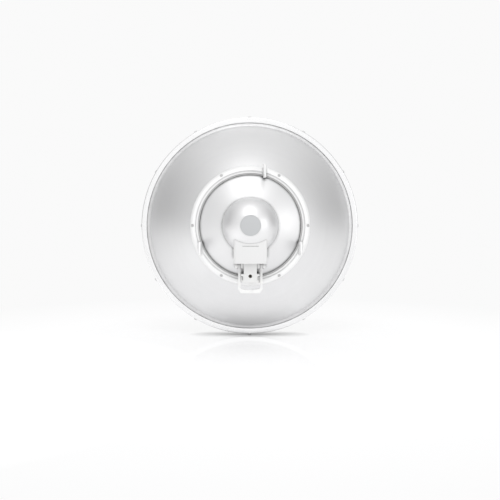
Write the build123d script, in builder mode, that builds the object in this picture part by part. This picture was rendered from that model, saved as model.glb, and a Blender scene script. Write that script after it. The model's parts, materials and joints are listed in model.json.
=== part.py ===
from build123d import *
import os
from math import asin, cos, degrees, radians, sin, sqrt

# Outdoor wireless bridge: a spun dish with a radio hub on its back.
# Millimetres. +Y is the boresight (the radome side), +Z is up, -Y is the back.
# The origin lies on the dish axis, in the plane of the mounting ring's rear land.

# --- dish ---------------------------------------------------------------------------------
FOCAL_LENGTH = 116.2
DISH_VERTEX_Y = -32.4
DISH_SHEET = 2.6
DISH_BORE_R = 14.0
FLANGE_Y = 160.8
FLANGE_SHEET = 2.0
LIP_R = 322.7
LIP_SHEET = 2.0
LIP_FRONT_Y = 176.6

# --- rim band with its rain hood ----------------------------------------------------------
RIM_R = 325.0
BAND_SHEET = 2.0
BAND_BACK_Y = 158.6
BAND_FRONT_Y = 180.6
BAND_FLANGE_R = 309.0
HOOD_FRONT_Y = 202.0
HOOD_END_ANGLE = 20.0
HOOD_ROOT_ANGLE = 15.0
HOOD_SWEEP = (3.0, 5.0)
BAND_CORNER_R = 3.2

# --- radome -------------------------------------------------------------------------------
RADOME_APEX_Y = 225.0
RADOME_WALL = 3.0
RADOME_CROWN_R = 306.0
RADOME_CROWN_DROP = 32.5
RADOME_EDGE_R = 322.6
RADOME_EDGE_Y = 181.0
SHOULDER_Y = 178.6
SKIRT_R = 320.4
SKIRT_BACK_Y = 165.0

# --- rim fasteners ------------------------------------------------------------------------
RIM_NUT_GAP = 0.3
RIM_NUT_FACE = (8.0, 12.0, 1.5)
RIM_NUT_DEPTH = 4.0
SOCKET_SHARE = 0.6
RIM_SCREW_COUNT = 12
RIM_SCREW_Y = 169.6
RIM_SHANK_R = 2.4
RIM_HOLE_R = 2.6
RIM_HEAD_R = 4.6
RIM_HEAD_H = 2.6
RIM_SHANK_LENGTH = 14.6

# --- mounting ring ------------------------------------------------------------------------
RING_OUT_R = 167.4
RING_LAND_IN_R = 153.0
RING_LAND_OUT_R = 160.0
RING_FLANGE_Y = 5.0
RING_IN_R = 146.0
RING_FRONT_R = 163.0
RING_SIDE_FRONT_Y = 18.0
RING_SIDE_BACK_Y = 12.0
RING_SHOULDER_R = 163.5
RING_SHOULDER_Y = 3.2
RING_STEP_R = 152.75
RING_IN_CHAMFER = 0.5
RING_IN_WALL = 2.5
CHANNEL_OUTLINE = ((155.8, 3.2), (158.8, 3.2), (161.0, 5.4), (164.4, 12.8), (164.4, 17.0), (161.5, 19.4))
CHANNEL_FRONT_R = 161.5
GASKET_IN_LAP = 4.0
GASKET_OUT_STEP = 2.4
GASKET_CHAMFER = 2.0
GASKET_BACK = ((CHANNEL_FRONT_R, 22.0), (149.6, 13.2), (149.0, 11.0))
DRAIN_LENGTH = 8.0
RING_FRONT_Y = 22.0
RING_WALL_FRONT_Y = 11.0
RING_SHEET = 3.0
RING_SCREW_COUNT = 6
RING_SCREW_PCR = 160.5
RING_BOSS_R = 5.6
RING_HEAD_R = 3.8
RING_HEAD_H = 2.8
RING_SEAT_Y = 5.0
RING_SHANK_R = 2.0
RING_HOLE_R = 2.15
RING_WEDGE_R = 7.0
RING_WEDGE_FRONT_Y = 31.6
RING_NUT_H = 3.2
DRAIN_R = 2.5
DRAIN_Y = 12.7

RING_WEDGE_LENGTH = 20.0
RING_TIP_Y = RING_WEDGE_FRONT_Y + 5.0
WEDGE_CUT_IN_R = RING_LAND_IN_R - 5.0
WEDGE_CUT_OUT_R = RING_OUT_R + 5.0
# --- hooks --------------------------------------------------------------------------------
HOOK_SHEET = 8.0
HOOK_TIP_SHEET = 3.0
HOOK_REACH = 36.0
HOOK_TAPER_Y = -21.0
NOTCH_R = 6.0
NOTCH_Y = -14.0
HOOK_ABOVE = 22.0
HOOK_BELOW = 13.0
HOOK_TOE = 3.0
HOOK_TOE_H = 5.0
NOTCH_LEAD = 1.5
NOTCH_LEAD_H = 2.5
HOOK_THREAD_Y = -7.0
HOOK_TIP_Y = -6.5
HOOK_NOSE_R = 8.0
HOOK_SCREW_PCR = 158.0
TOP_HOOK_X = 40.0
TOP_HOOK_Z = 145.5
LOW_HOOK_X = 138.7
LOW_HOOK_Z = -67.0

# --- hub ----------------------------------------------------------------------------------
DOME_R = 77.0
DOME_DEPTH = 70.0
DOME_CENTRE_Y = -15.0
DOME_WALL = 3.0
DOME_END_R = 28.0
HUB_SEAM_Y = -33.0
HUB_FOOT_Y = -21.4
HUB_SEAL = 0.6
HUB_PAD_R = 48.0
HUB_FLOOR_BACK_Y = -36.4
HUB_FLOOR_FRONT_Y = -33.4
SPIGOT_R = 68.4
SPIGOT_BACK_Y = -40.0
HUB_SCREW_COUNT = 6
HUB_SCREW_PCR = 38.0
DOME_SCREW_PCR = 60.0
HUB_FLOOR_STEP = 1.0
HUB_TIP_Y = -21.0
DOME_HOLE_END_Y = -45.0
DOME_BOSS_R = 4.0
DOME_BOSS_LENGTH = 19.0
DOME_THREAD_LENGTH = 15.0
DISC_SHEET = 1.0
DISC_GAP = 0.2
DOME_SCREW_ANGLES = (35.0, 145.0, 215.0, 325.0)

# --- neck, port bay and port cover --------------------------------------------------------
NECK_HALF = 39.0
NECK_TOP_Z = -42.0
NECK_BOTTOM_Z = -84.0
NECK_FRONT_Y = -24.5
NECK_BACK_Y = -57.4
NECK_SHEET = 2.6
NECK_CORNER_R = 5.0
BAY_SHEET = 4.0
BAY_BOTTOM_Z = NECK_BOTTOM_Z - BAY_SHEET
BAY_FRONT_Y = -17.4
BAY_TONGUE = 2.0
BAY_FRAME_WALL = 1.8
BAY_FRAME_HEIGHT = 1.5
JACK_PLAY = 0.2
BUTTON_POINT = (19.0, -47.0)
BUTTON_R = 2.0
BUTTON_PLAY = 0.08
BUTTON_PROUD = 1.5
BUTTON_LENGTH = 9.0
BUTTON_LIP = (3.0, 1.2)
BUTTON_TRAVEL_GAP = 0.3
BUTTON_ROUND = 0.5
VENT_POINT = (29.0, -40.0)
VENT_R = 3.0
VENT_HEAD = (4.5, 2.0)
VENT_ROUND = 0.8
GROUND_POINT = (-24.0, -45.0)
GROUND_R = 2.0
GROUND_HEAD = (4.0, 2.6)
GROUND_TAIL = 4.0
CROSS_SLOT = (5.6, 0.9, 1.4)
LIGHT_POINTS = ((14.0, -39.0), (18.0, -39.0), (22.0, -39.0))
LIGHT_R = 1.0
LIGHT_PROUD = 0.6
LIGHT_LENGTH = 9.0
LIGHT_BAR = (10.0, 1.4, 1.5)
COVER_HALF = 45.5
COVER_WALL = 3.0
COVER_GAP = 0.4
COVER_CORNER_R = 8.0
BULGE_R = 151.0
BULGE_CENTRE_Y = 81.0
COVER_TOP_Z = -25.0
COVER_BOTTOM_Z = -102.5
GROOVE_Z = -56.0
GROOVE_WIDTH = 1.2
GROOVE_DEPTH = 0.6
GROOVE_HALF = 22.0
GROOVE_BOW = 1.6
COVER_SIDE_CUT = ((5, -107.5), (5, -90), (-53, -91), (-57, -94), (-60, -100.5), (-61, -107.5))
RAIL_Y = -30.0
RAIL_HALF = 1.6
RAIL_DEPTH = 1.6
DISH_GAP = 1.2

# --- latch --------------------------------------------------------------------------------
PIVOT_Y = -11.0
PIVOT_Z = -112.0
PIN_R = 3.0
PIN_HOLE_R = 3.05
PIN_HEAD_R = 6.5
PIN_HEAD_OUT_X = 41.5
BAIL_HALF = 33.4
BAIL_ARM = 6.6
BAIL_BOTTOM_Z = -185.6
BAIL_EYE_R = 6.3
HEAD_HALF = 26.0
HEAD_TOP_Z = -133.0
HEAD_BOTTOM_Z = -157.0
HEAD_BACK_Y = -24.0
TONGUE_HALF = 18.0
TONGUE_SHEET = 5.0
TONGUE_TOP_Z = -92.0
LOCK_Z = -139.0
LOCK_THREAD_R = 3.4
LOCK_INSERT_R = 4.6
LOCK_MOUTH_R = 5.0
LOCK_MOUTH_DEPTH = 3.0
LOCK_INSERT_LENGTH = 14.0
BRACKET_SCREW_X = 18.0
BRACKET_SCREW_PCR = 152.0
FOOT_SCREW_Z = -98.0
FOOT_Z = -101.0
FOOT_FACE = (24.0, 16.0)
FOOT_FRONT_Y = -5.0
HEAD_CORNER_R = 2.0
TONGUE_LAP = 4.0
RIB_SHEET = 3.0
RIB_DROP = 6.0
LUG_R = 6.1
BRACKET_CHAMFER = 0.8
POCKET_OUTLINE = ((5.3, -1.4), (14.9, -1.4), (14.4, -8.0), (10.5, -14.5), (5.3, -17.0))
POCKET_DEPTH = 20.0
SLOTS = ((21.0, -144.6, 1.6, 10.2), (24.0, -140.3, 6.0, 1.6))
SLOT_DEPTH = 10.0
PIN_HOLE_SETBACK = 5.0
BRACKET_THREAD_Y = -10.0
BRACKET_TIP_Y = -9.5
FOOT_TIP_Y = 2.0
BAIL_BACK_EDGE = ((-22.5, -128.0), (-31.0, -152.0), (-36.0, -174.0))
BAIL_FRONT_EDGE = ((-21.5, -180.0), (-19.5, -160.0), (-13.0, -138.0))
BAIL_BAR_Y = (-30.0, -25.0)
BAIL_BAR_RADII = (12.0, 5.0)
BAIL_SHOULDER_Z = -172.6
BAIL_INNER_Z = -168.0
BAIL_SAG_Z = -175.6
BAIL_INNER_CORNER = 4.0
BAIL_FOOT_HALF = 25.4
BAIL_ARM_TOP_Z = -100.0
BAIL_CUT_DEPTH = 60.0
SCOOP_Y = -92.0
SCOOP_RADII = (24.0, 60.0)
SCOOP_HEIGHT = 21.0
PIN_GAP = 0.5
PIN_IN_X = 14.0

# --- radio inside the hub -----------------------------------------------------------------
BOARD_FRONT_Y = -40.2
BOARD_SHEET = 1.6
BOARD_R = 55.0
BOARD_TAB_HALF = 30.0
BOARD_TAB_Z = -82.0
SHIELD_SIZE = (60.0, 44.0, 4.0)
PAD_SHEET = 0.8
SINK_R = 37.0
SINK_BASE = 4.0
FIN_COUNT = 9
FIN_SHEET = 2.0
FIN_PITCH = 7.6
FIN_TIP_Y = -69.0
JACK_HALF = 8.0
JACK_HEIGHT = 12.6
JACK_TOP_Z = -66.0
JACK_MOUTH_Z = -87.4
SOCKET_HALF = 5.9
SOCKET_HEIGHT = 8.4
SOCKET_DEPTH = 14.0
KEYWAY = (6.4, 1.6)
KEYWAY_SHIFT = 0.7
BOARD_HOLE_R = 1.6
STANDOFF_PCR = 50.0
STANDOFF_ANGLES = (30.0, 150.0, 210.0, 330.0)
STANDOFF_R = 3.2
COMPONENT_POINTS = ((-20.0, -58.0), (20.0, -58.0))
COMPONENT_FACE = (14.0, 11.0, 0.8)
COMPONENT_HEIGHT = 6.0
SHIELD_CORNER_R = 2.0
SHIELD_SHEET = 0.5
PAD_MARGIN = 12.0

# --- feed ---------------------------------------------------------------------------------
TUBE_R = 12.0
TUBE_BORE_R = 9.5
TUBE_BACK_Y = -39.6
TUBE_FRONT_Y = 58.0
FEED_FLANGE_R = 46.0
FEED_FLANGE_FRONT_Y = -19.5
COLLAR_R = 18.0
COLLAR_FRONT_Y = -4.0
CONE_R = 27.0
CONE_FRONT_Y = 80.0
CONE_APEX_Y = 66.0
CONE_PLUG = 8.0
CONE_COLLAR = 2.0
SUBREFLECTOR_SHEET = 3.0
FEED_SEAL_POINT = (1.0, 1.2)
FEED_SEAL_R = 0.85


# --- small fits and details ---------------------------------------------------------------
SLIP = 0.1
DRILL = 1.0
HEAD_PLAY = 0.4
NUT_R = 4.0
CAP_HEAD = (3.3, 2.6)
HUB_HEAD = (3.6, 2.4)
DOME_HEAD = (3.2, 2.2)
BOARD_HEAD = (2.8, 1.8)
SMALL_SHANK_R = 1.5
SMALL_THREAD_R = 1.55
SMALL_HOLE_R = 1.8

os.makedirs("parts", exist_ok=True)


# --- geometry shared by several pieces ----------------------------------------------------
def dish_y(radius):
    """Depth of the dish's rear surface at a radius."""
    return DISH_VERTEX_Y + radius**2 / (4 * FOCAL_LENGTH)


def dish_r(depth):
    """Radius at which the dish's rear surface reaches a depth."""
    return sqrt(4 * FOCAL_LENGTH * (depth - DISH_VERTEX_Y))


def parabola(start_r, end_r, shift=0.0):
    """Exact arc of the dish's parabola between two radii, moved along the axis."""
    middle_y = DISH_VERTEX_Y + start_r * end_r / (4 * FOCAL_LENGTH) + shift
    return Bezier(
        (start_r, dish_y(start_r) + shift),
        ((start_r + end_r) / 2, middle_y),
        (end_r, dish_y(end_r) + shift),
    )


def dome_angle(depth, wall=0.0):
    """Ellipse angle at which the dome's surface, or the inside of its wall, reaches a depth."""
    return degrees(asin((DOME_CENTRE_Y - depth) / (DOME_DEPTH - wall)))


def dome_r(depth, wall=0.0):
    """Radius of the dome's surface, or of the inside of its wall, at a depth."""
    return (DOME_R - wall) * cos(radians(dome_angle(depth, wall)))


def dome_arc(front_y, back_y, wall=0.0):
    """Arc of the dome's ellipse between two depths."""
    return EllipticalCenterArc(
        (0, DOME_CENTRE_Y),
        DOME_R - wall,
        DOME_DEPTH - wall,
        start_angle=-dome_angle(back_y, wall),
        arc_size=dome_angle(back_y, wall) - dome_angle(front_y, wall),
    )


def back_plane(depth):
    """Plane across the dish axis that faces the back, so an extrusion from it goes to -Y."""
    return Plane.XZ.offset(-depth)


def radial_plane(angle, radius, depth):
    """Plane that faces outwards from the dish axis."""
    outwards = (cos(radians(angle)), 0, sin(radians(angle)))
    return Plane(origin=(radius * outwards[0], depth, radius * outwards[2]), x_dir=(0, 1, 0), z_dir=outwards)


def rim_angles():
    """Angles of the rim screws about the dish axis."""
    return [index * 360 / RIM_SCREW_COUNT for index in range(RIM_SCREW_COUNT)]


def rim_holes():
    """Drill the rim screws' clearance holes through the piece being built."""
    for angle in rim_angles():
        with BuildSketch(radial_plane(angle, BAND_FLANGE_R, RIM_SCREW_Y)) as hole:
            Circle(RIM_HOLE_R)
        extrude(hole.sketch, amount=RIM_R - BAND_FLANGE_R + RIM_HEAD_H, mode=Mode.SUBTRACT)


def axial_holes(radius, front_y, back_y, centres):
    """Drill round holes along the dish axis through the piece being built."""
    with BuildSketch(back_plane(front_y)) as holes:
        with Locations(*centres):
            Circle(radius)
    extrude(holes.sketch, amount=front_y - back_y, mode=Mode.SUBTRACT)


def polar_points(radius, angles):
    """Points across the dish axis at one radius."""
    return [(radius * cos(radians(angle)), radius * sin(radians(angle))) for angle in angles]


def even_angles(count):
    """Evenly spaced angles, the first on +X."""
    return [index * 360 / count for index in range(count)]


def axial_screws(head_r, head_h, shank_r, seat_y, head_side, tip_y, centres):
    """Pan-head screws along the dish axis with a hexagon socket, heads on the -1 or +1 side."""
    outer_y = seat_y + head_side * head_h
    for start_y, end_y, radius in ((seat_y, outer_y, head_r), (tip_y, seat_y, shank_r)):
        with BuildSketch(back_plane(start_y)) as rounds:
            with Locations(*centres):
                Circle(radius)
        extrude(rounds.sketch, amount=start_y - end_y)
    with BuildSketch(back_plane(outer_y)) as sockets:
        with Locations(*centres):
            RegularPolygon(head_r / 2, 6)
    extrude(sockets.sketch, amount=head_side * head_h * SOCKET_SHARE, mode=Mode.SUBTRACT)


def cover_outline(inset, front_y):
    """Plan outline shared by the port cover and its bay: flat sides, gently bulging back."""
    half = COVER_HALF - inset
    bulge = BULGE_R - inset
    corner_y = BULGE_CENTRE_Y - sqrt(bulge**2 - half**2)
    with BuildLine() as outline:
        ThreePointArc((-half, corner_y), (0, BULGE_CENTRE_Y - bulge), (half, corner_y))
        Polyline((half, corner_y), (half, front_y), (-half, front_y), (-half, corner_y))
    make_face(outline.edges())
    fillet(vertices().sort_by(Axis.Y)[:2], radius=COVER_CORNER_R - inset)


def keep(piece, label):
    """Label a finished piece and write its STEP file."""
    piece.part.label = label
    export_step(piece.part, f"parts/{label}.step")


# Space taken by the dish and everything in front of it, used to trim what lies on its back.
with BuildPart() as dish_space:
    with BuildSketch(Plane.XY):
        with BuildLine():
            parabola(0, RING_OUT_R, -DISH_GAP)
            Polyline(
                (RING_OUT_R, dish_y(RING_OUT_R) - DISH_GAP),
                (RING_OUT_R, FLANGE_Y),
                (0, FLANGE_Y),
                (0, DISH_VERTEX_Y - DISH_GAP),
            )
        make_face()
    revolve(axis=Axis.Y)

# Full section of the mounting ring, with its channel filled in.
with BuildPart() as ring_space:
    with BuildSketch(Plane.XY):
        with BuildLine():
            Polyline(
                (RING_FRONT_R, RING_FRONT_Y),
                (RING_OUT_R, RING_SIDE_FRONT_Y),
                (RING_OUT_R, RING_SIDE_BACK_Y),
                (RING_SHOULDER_R, RING_SHOULDER_Y),
                (RING_LAND_OUT_R, 0.0),
                (RING_LAND_IN_R, 0.0),
                (RING_STEP_R, RING_FLANGE_Y),
                (RING_IN_R + RING_IN_CHAMFER, RING_FLANGE_Y),
                (RING_IN_R, RING_FLANGE_Y + RING_IN_CHAMFER),
                (RING_IN_R, RING_FRONT_Y),
                close=True,
            )
        make_face()
    revolve(axis=Axis.Y)

# Solid of the dome's outside, a little larger, used to trim the cover that fits against it.
with BuildPart() as dome_space:
    with BuildSketch(Plane.XY):
        with BuildLine():
            EllipticalCenterArc(
                (0, DOME_CENTRE_Y),
                DOME_R + COVER_GAP,
                DOME_DEPTH + COVER_GAP,
                start_angle=-90,
                arc_size=90,
            )
            Polyline(
                (0, DOME_CENTRE_Y - DOME_DEPTH - COVER_GAP),
                (0, DOME_CENTRE_Y),
                (DOME_R + COVER_GAP, DOME_CENTRE_Y),
            )
        make_face()
    revolve(axis=Axis.Y)

ring_screw_points = polar_points(RING_SCREW_PCR, even_angles(RING_SCREW_COUNT))
hub_screw_points = polar_points(HUB_SCREW_PCR, even_angles(HUB_SCREW_COUNT))
dome_screw_points = polar_points(DOME_SCREW_PCR, DOME_SCREW_ANGLES)
foot_screw_point = (0, FOOT_SCREW_Z)
standoff_points = polar_points(STANDOFF_PCR, STANDOFF_ANGLES)

# --- dish and rim -------------------------------------------------------------------------
with BuildPart() as reflector:
    with BuildSketch(Plane.XY):
        front_root_r = dish_r(FLANGE_Y + FLANGE_SHEET - DISH_SHEET)
        with BuildLine():
            parabola(DISH_BORE_R, dish_r(FLANGE_Y))
            Polyline(
                (dish_r(FLANGE_Y), FLANGE_Y),
                (LIP_R, FLANGE_Y),
                (LIP_R, LIP_FRONT_Y),
                (LIP_R - LIP_SHEET, LIP_FRONT_Y),
                (LIP_R - LIP_SHEET, FLANGE_Y + FLANGE_SHEET),
                (front_root_r, FLANGE_Y + FLANGE_SHEET),
            )
            parabola(DISH_BORE_R, front_root_r, DISH_SHEET)
            Line((DISH_BORE_R, dish_y(DISH_BORE_R)), (DISH_BORE_R, dish_y(DISH_BORE_R) + DISH_SHEET))
        make_face()
    revolve(axis=Axis.Y)
    lip_corner = edges().filter_by(
        lambda edge: edge.geom_type == GeomType.CIRCLE
        and abs(edge.radius - LIP_R) < SLIP
        and abs(edge.center().Y - FLANGE_Y) < SLIP
    )
    fillet(lip_corner, radius=FLANGE_SHEET)
    rim_holes()
    axial_holes(RING_HOLE_R, RING_WEDGE_FRONT_Y, RING_SEAT_Y, ring_screw_points)
    axial_holes(RING_HOLE_R, FEED_FLANGE_FRONT_Y, SPIGOT_BACK_Y, hub_screw_points)
    axial_holes(RING_HOLE_R, RING_FLANGE_Y, HEAD_BACK_Y, [foot_screw_point])
keep(reflector, "reflector")

with BuildPart() as rim_band:
    with BuildSketch(Plane.XY):
        with BuildLine():
            Polyline(
                (BAND_FLANGE_R, BAND_BACK_Y),
                (RIM_R, BAND_BACK_Y),
                (RIM_R, HOOD_FRONT_Y),
                (RIM_R - BAND_SHEET, HOOD_FRONT_Y),
                (RIM_R - BAND_SHEET, BAND_BACK_Y + BAND_SHEET),
                (BAND_FLANGE_R, BAND_BACK_Y + BAND_SHEET),
                close=True,
            )
        make_face()
        outer_corner = vertices().filter_by(lambda v: v.X > RIM_R - SLIP and v.Y < BAND_BACK_Y + SLIP)
        fillet(outer_corner, radius=BAND_CORNER_R)
    revolve(axis=Axis.Y)
    # The hood stays only over the top; its ends sweep down into the band's front edge.
    with BuildSketch(Plane.YZ):
        hood_end_z = RIM_R * sin(radians(HOOD_END_ANGLE))
        hood_root_z = RIM_R * sin(radians(HOOD_ROOT_ANGLE))
        with BuildLine():
            Bezier(
                (BAND_FRONT_Y, hood_root_z),
                (BAND_FRONT_Y + HOOD_SWEEP[0], hood_end_z - HOOD_SWEEP[1]),
                (HOOD_FRONT_Y, hood_end_z),
            )
            Polyline(
                (HOOD_FRONT_Y, hood_end_z),
                (HOOD_FRONT_Y + DRILL, hood_end_z),
                (HOOD_FRONT_Y + DRILL, -RIM_R - DRILL),
                (BAND_FRONT_Y, -RIM_R - DRILL),
                (BAND_FRONT_Y, hood_root_z),
            )
        make_face()
    extrude(amount=RIM_R + DRILL, both=True, mode=Mode.SUBTRACT)
    rim_holes()
keep(rim_band, "rim_band")

with BuildPart() as radome:
    crown_centre_drop = (RADOME_CROWN_R**2 + RADOME_CROWN_DROP**2) / (2 * RADOME_CROWN_DROP)
    crown_middle_drop = crown_centre_drop - sqrt(crown_centre_drop**2 - (RADOME_CROWN_R / 2) ** 2)
    crown_tangent = (crown_centre_drop - RADOME_CROWN_DROP, -RADOME_CROWN_R)
    inner_apex_y = RADOME_APEX_Y - RADOME_WALL
    inner_edge_r = SKIRT_R - RADOME_WALL
    with BuildSketch(Plane.XY):
        with BuildLine():
            ThreePointArc(
                (0, RADOME_APEX_Y),
                (RADOME_CROWN_R / 2, RADOME_APEX_Y - crown_middle_drop),
                (RADOME_CROWN_R, RADOME_APEX_Y - RADOME_CROWN_DROP),
            )
            TangentArc(
                (RADOME_CROWN_R, RADOME_APEX_Y - RADOME_CROWN_DROP),
                (RADOME_EDGE_R, RADOME_EDGE_Y),
                tangent=crown_tangent,
            )
            Polyline(
                (RADOME_EDGE_R, RADOME_EDGE_Y),
                (RADOME_EDGE_R, SHOULDER_Y),
                (SKIRT_R, SHOULDER_Y),
                (SKIRT_R, SKIRT_BACK_Y),
                (inner_edge_r, SKIRT_BACK_Y),
                (inner_edge_r, SHOULDER_Y),
            )
            TangentArc(
                (RADOME_CROWN_R, inner_apex_y - RADOME_CROWN_DROP),
                (inner_edge_r, SHOULDER_Y),
                tangent=crown_tangent,
            )
            ThreePointArc(
                (0, inner_apex_y),
                (RADOME_CROWN_R / 2, inner_apex_y - crown_middle_drop),
                (RADOME_CROWN_R, inner_apex_y - RADOME_CROWN_DROP),
            )
            Line((0, inner_apex_y), (0, RADOME_APEX_Y))
        make_face()
    revolve(axis=Axis.Y)
    rim_holes()
keep(radome, "radome")

with BuildPart() as radome_gasket:
    with BuildSketch(back_plane(SHOULDER_Y)):
        Circle(RADOME_EDGE_R)
        Circle(SKIRT_R + LIP_SHEET * SLIP, mode=Mode.SUBTRACT)
    extrude(amount=SHOULDER_Y - LIP_FRONT_Y)
keep(radome_gasket, "radome_gasket")

with BuildPart() as rim_screws:
    for angle in rim_angles():
        with BuildSketch(radial_plane(angle, RIM_R, RIM_SCREW_Y)):
            Circle(RIM_HEAD_R)
        extrude(amount=RIM_HEAD_H)
        with BuildSketch(radial_plane(angle, RIM_R, RIM_SCREW_Y)):
            Circle(RIM_SHANK_R)
        extrude(amount=-RIM_SHANK_LENGTH)
        with BuildSketch(radial_plane(angle, RIM_R + RIM_HEAD_H, RIM_SCREW_Y)):
            RegularPolygon(RIM_HEAD_R / 2, 6)
        extrude(amount=-RIM_HEAD_H * SOCKET_SHARE, mode=Mode.SUBTRACT)
keep(rim_screws, "rim_screws")

with BuildPart() as rim_nuts:
    for angle in rim_angles():
        with BuildSketch(radial_plane(angle, inner_edge_r - RIM_NUT_GAP, RIM_SCREW_Y)):
            RectangleRounded(*RIM_NUT_FACE)
            Circle(RIM_SHANK_R + SLIP / 2, mode=Mode.SUBTRACT)
        extrude(amount=-RIM_NUT_DEPTH)
keep(rim_nuts, "rim_nuts")

# --- mounting ring ------------------------------------------------------------------------
# Inside of the ring's channel, less the bosses that the ring screws pass through.
with BuildPart() as ring_channel:
    with BuildSketch(Plane.XY):
        with BuildLine():
            Polyline(
                *CHANNEL_OUTLINE,
                (CHANNEL_FRONT_R, RING_FRONT_Y + DRILL),
                (RING_IN_R + RING_IN_WALL, RING_FRONT_Y + DRILL),
                (RING_IN_R + RING_IN_WALL, RING_FLANGE_Y + RING_SHEET),
                (CHANNEL_OUTLINE[0][0], RING_FLANGE_Y + RING_SHEET),
                close=True,
            )
        make_face()
    revolve(axis=Axis.Y)
    with BuildSketch(back_plane(CHANNEL_OUTLINE[4][1])):
        with Locations(*ring_screw_points):
            Circle(RING_BOSS_R)
    extrude(amount=RING_FRONT_Y, mode=Mode.SUBTRACT)

hook_screw_points = [
    (TOP_HOOK_X, sqrt(HOOK_SCREW_PCR**2 - TOP_HOOK_X**2)),
    (-LOW_HOOK_X, -sqrt(HOOK_SCREW_PCR**2 - LOW_HOOK_X**2)),
    (LOW_HOOK_X, -sqrt(HOOK_SCREW_PCR**2 - LOW_HOOK_X**2)),
]
bracket_screw_z = -sqrt(BRACKET_SCREW_PCR**2 - BRACKET_SCREW_X**2)
bracket_screw_points = [(-BRACKET_SCREW_X, bracket_screw_z), (BRACKET_SCREW_X, bracket_screw_z)]

with BuildPart() as mount_ring:
    add(ring_space.part)
    add(ring_channel.part, mode=Mode.SUBTRACT)
    with BuildSketch(Plane.XY):
        with Locations((RING_IN_R + RING_IN_WALL / 2, (RING_WALL_FRONT_Y + RING_FRONT_Y + DRILL) / 2)):
            Rectangle(RING_IN_WALL + 2 * SLIP, RING_FRONT_Y - RING_WALL_FRONT_Y + DRILL)
    revolve(axis=Axis.Y, mode=Mode.SUBTRACT)
    axial_holes(RING_HEAD_R + HEAD_PLAY, RING_SEAT_Y, -DRILL, ring_screw_points)
    axial_holes(RING_HOLE_R, RING_FRONT_Y + DRILL, -DRILL, ring_screw_points)
    axial_holes(RING_HEAD_R + HEAD_PLAY / 2, RING_SIDE_BACK_Y, RING_SHOULDER_Y, hook_screw_points)
    axial_holes(RING_HOLE_R, RING_SIDE_BACK_Y, -DRILL, hook_screw_points)
    axial_holes(RING_HOLE_R, RING_SIDE_BACK_Y, -DRILL, bracket_screw_points)
    with BuildSketch(radial_plane(-90, RING_OUT_R - DRAIN_LENGTH, DRAIN_Y)):
        Circle(DRAIN_R)
    extrude(amount=DRAIN_LENGTH + 2 * DRILL, mode=Mode.SUBTRACT)
keep(mount_ring, "mount_ring")

with BuildPart() as ring_gasket:
    gasket_in_r = RING_IN_R - GASKET_IN_LAP
    gasket_out_r = RING_OUT_R - GASKET_OUT_STEP
    with BuildSketch(Plane.XY):
        with BuildLine():
            parabola(gasket_in_r, gasket_out_r)
            Polyline(
                (gasket_out_r, dish_y(gasket_out_r)),
                (gasket_out_r, RING_FRONT_Y),
                *GASKET_BACK,
                (RING_IN_R, RING_WALL_FRONT_Y),
                (gasket_in_r, dish_y(gasket_in_r) - GASKET_CHAMFER),
                (gasket_in_r, dish_y(gasket_in_r)),
            )
        make_face()
    revolve(axis=Axis.Y)
    axial_holes(RING_HOLE_R, RING_WEDGE_FRONT_Y, RING_SEAT_Y, ring_screw_points)
keep(ring_gasket, "ring_gasket")

with BuildPart() as ring_screws:
    axial_screws(
        RING_HEAD_R, RING_HEAD_H, RING_SHANK_R, RING_SEAT_Y, -1, RING_TIP_Y, ring_screw_points
    )
keep(ring_screws, "ring_screws")

# Wedge washers level the nuts on the sloping inside of the dish.
with BuildPart() as ring_wedges:
    with BuildSketch(back_plane(RING_WEDGE_FRONT_Y)):
        with Locations(*ring_screw_points):
            Circle(RING_WEDGE_R)
            Circle(RING_HOLE_R, mode=Mode.SUBTRACT)
    extrude(amount=RING_WEDGE_LENGTH)
    with BuildSketch(Plane.XY):
        with BuildLine():
            parabola(WEDGE_CUT_IN_R, WEDGE_CUT_OUT_R, DISH_SHEET)
            Polyline(
                (WEDGE_CUT_OUT_R, dish_y(WEDGE_CUT_OUT_R) + DISH_SHEET),
                (WEDGE_CUT_OUT_R, 0),
                (WEDGE_CUT_IN_R, 0),
                (WEDGE_CUT_IN_R, dish_y(WEDGE_CUT_IN_R) + DISH_SHEET),
            )
        make_face()
    revolve(axis=Axis.Y, mode=Mode.SUBTRACT)
keep(ring_wedges, "ring_wedges")

with BuildPart() as ring_nuts:
    with BuildSketch(back_plane(RING_WEDGE_FRONT_Y + RING_NUT_H)):
        with Locations(*ring_screw_points):
            RegularPolygon(NUT_R, 6)
            Circle(RING_SHANK_R + SLIP / 2, mode=Mode.SUBTRACT)
    extrude(amount=RING_NUT_H)
keep(ring_nuts, "ring_nuts")


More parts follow.
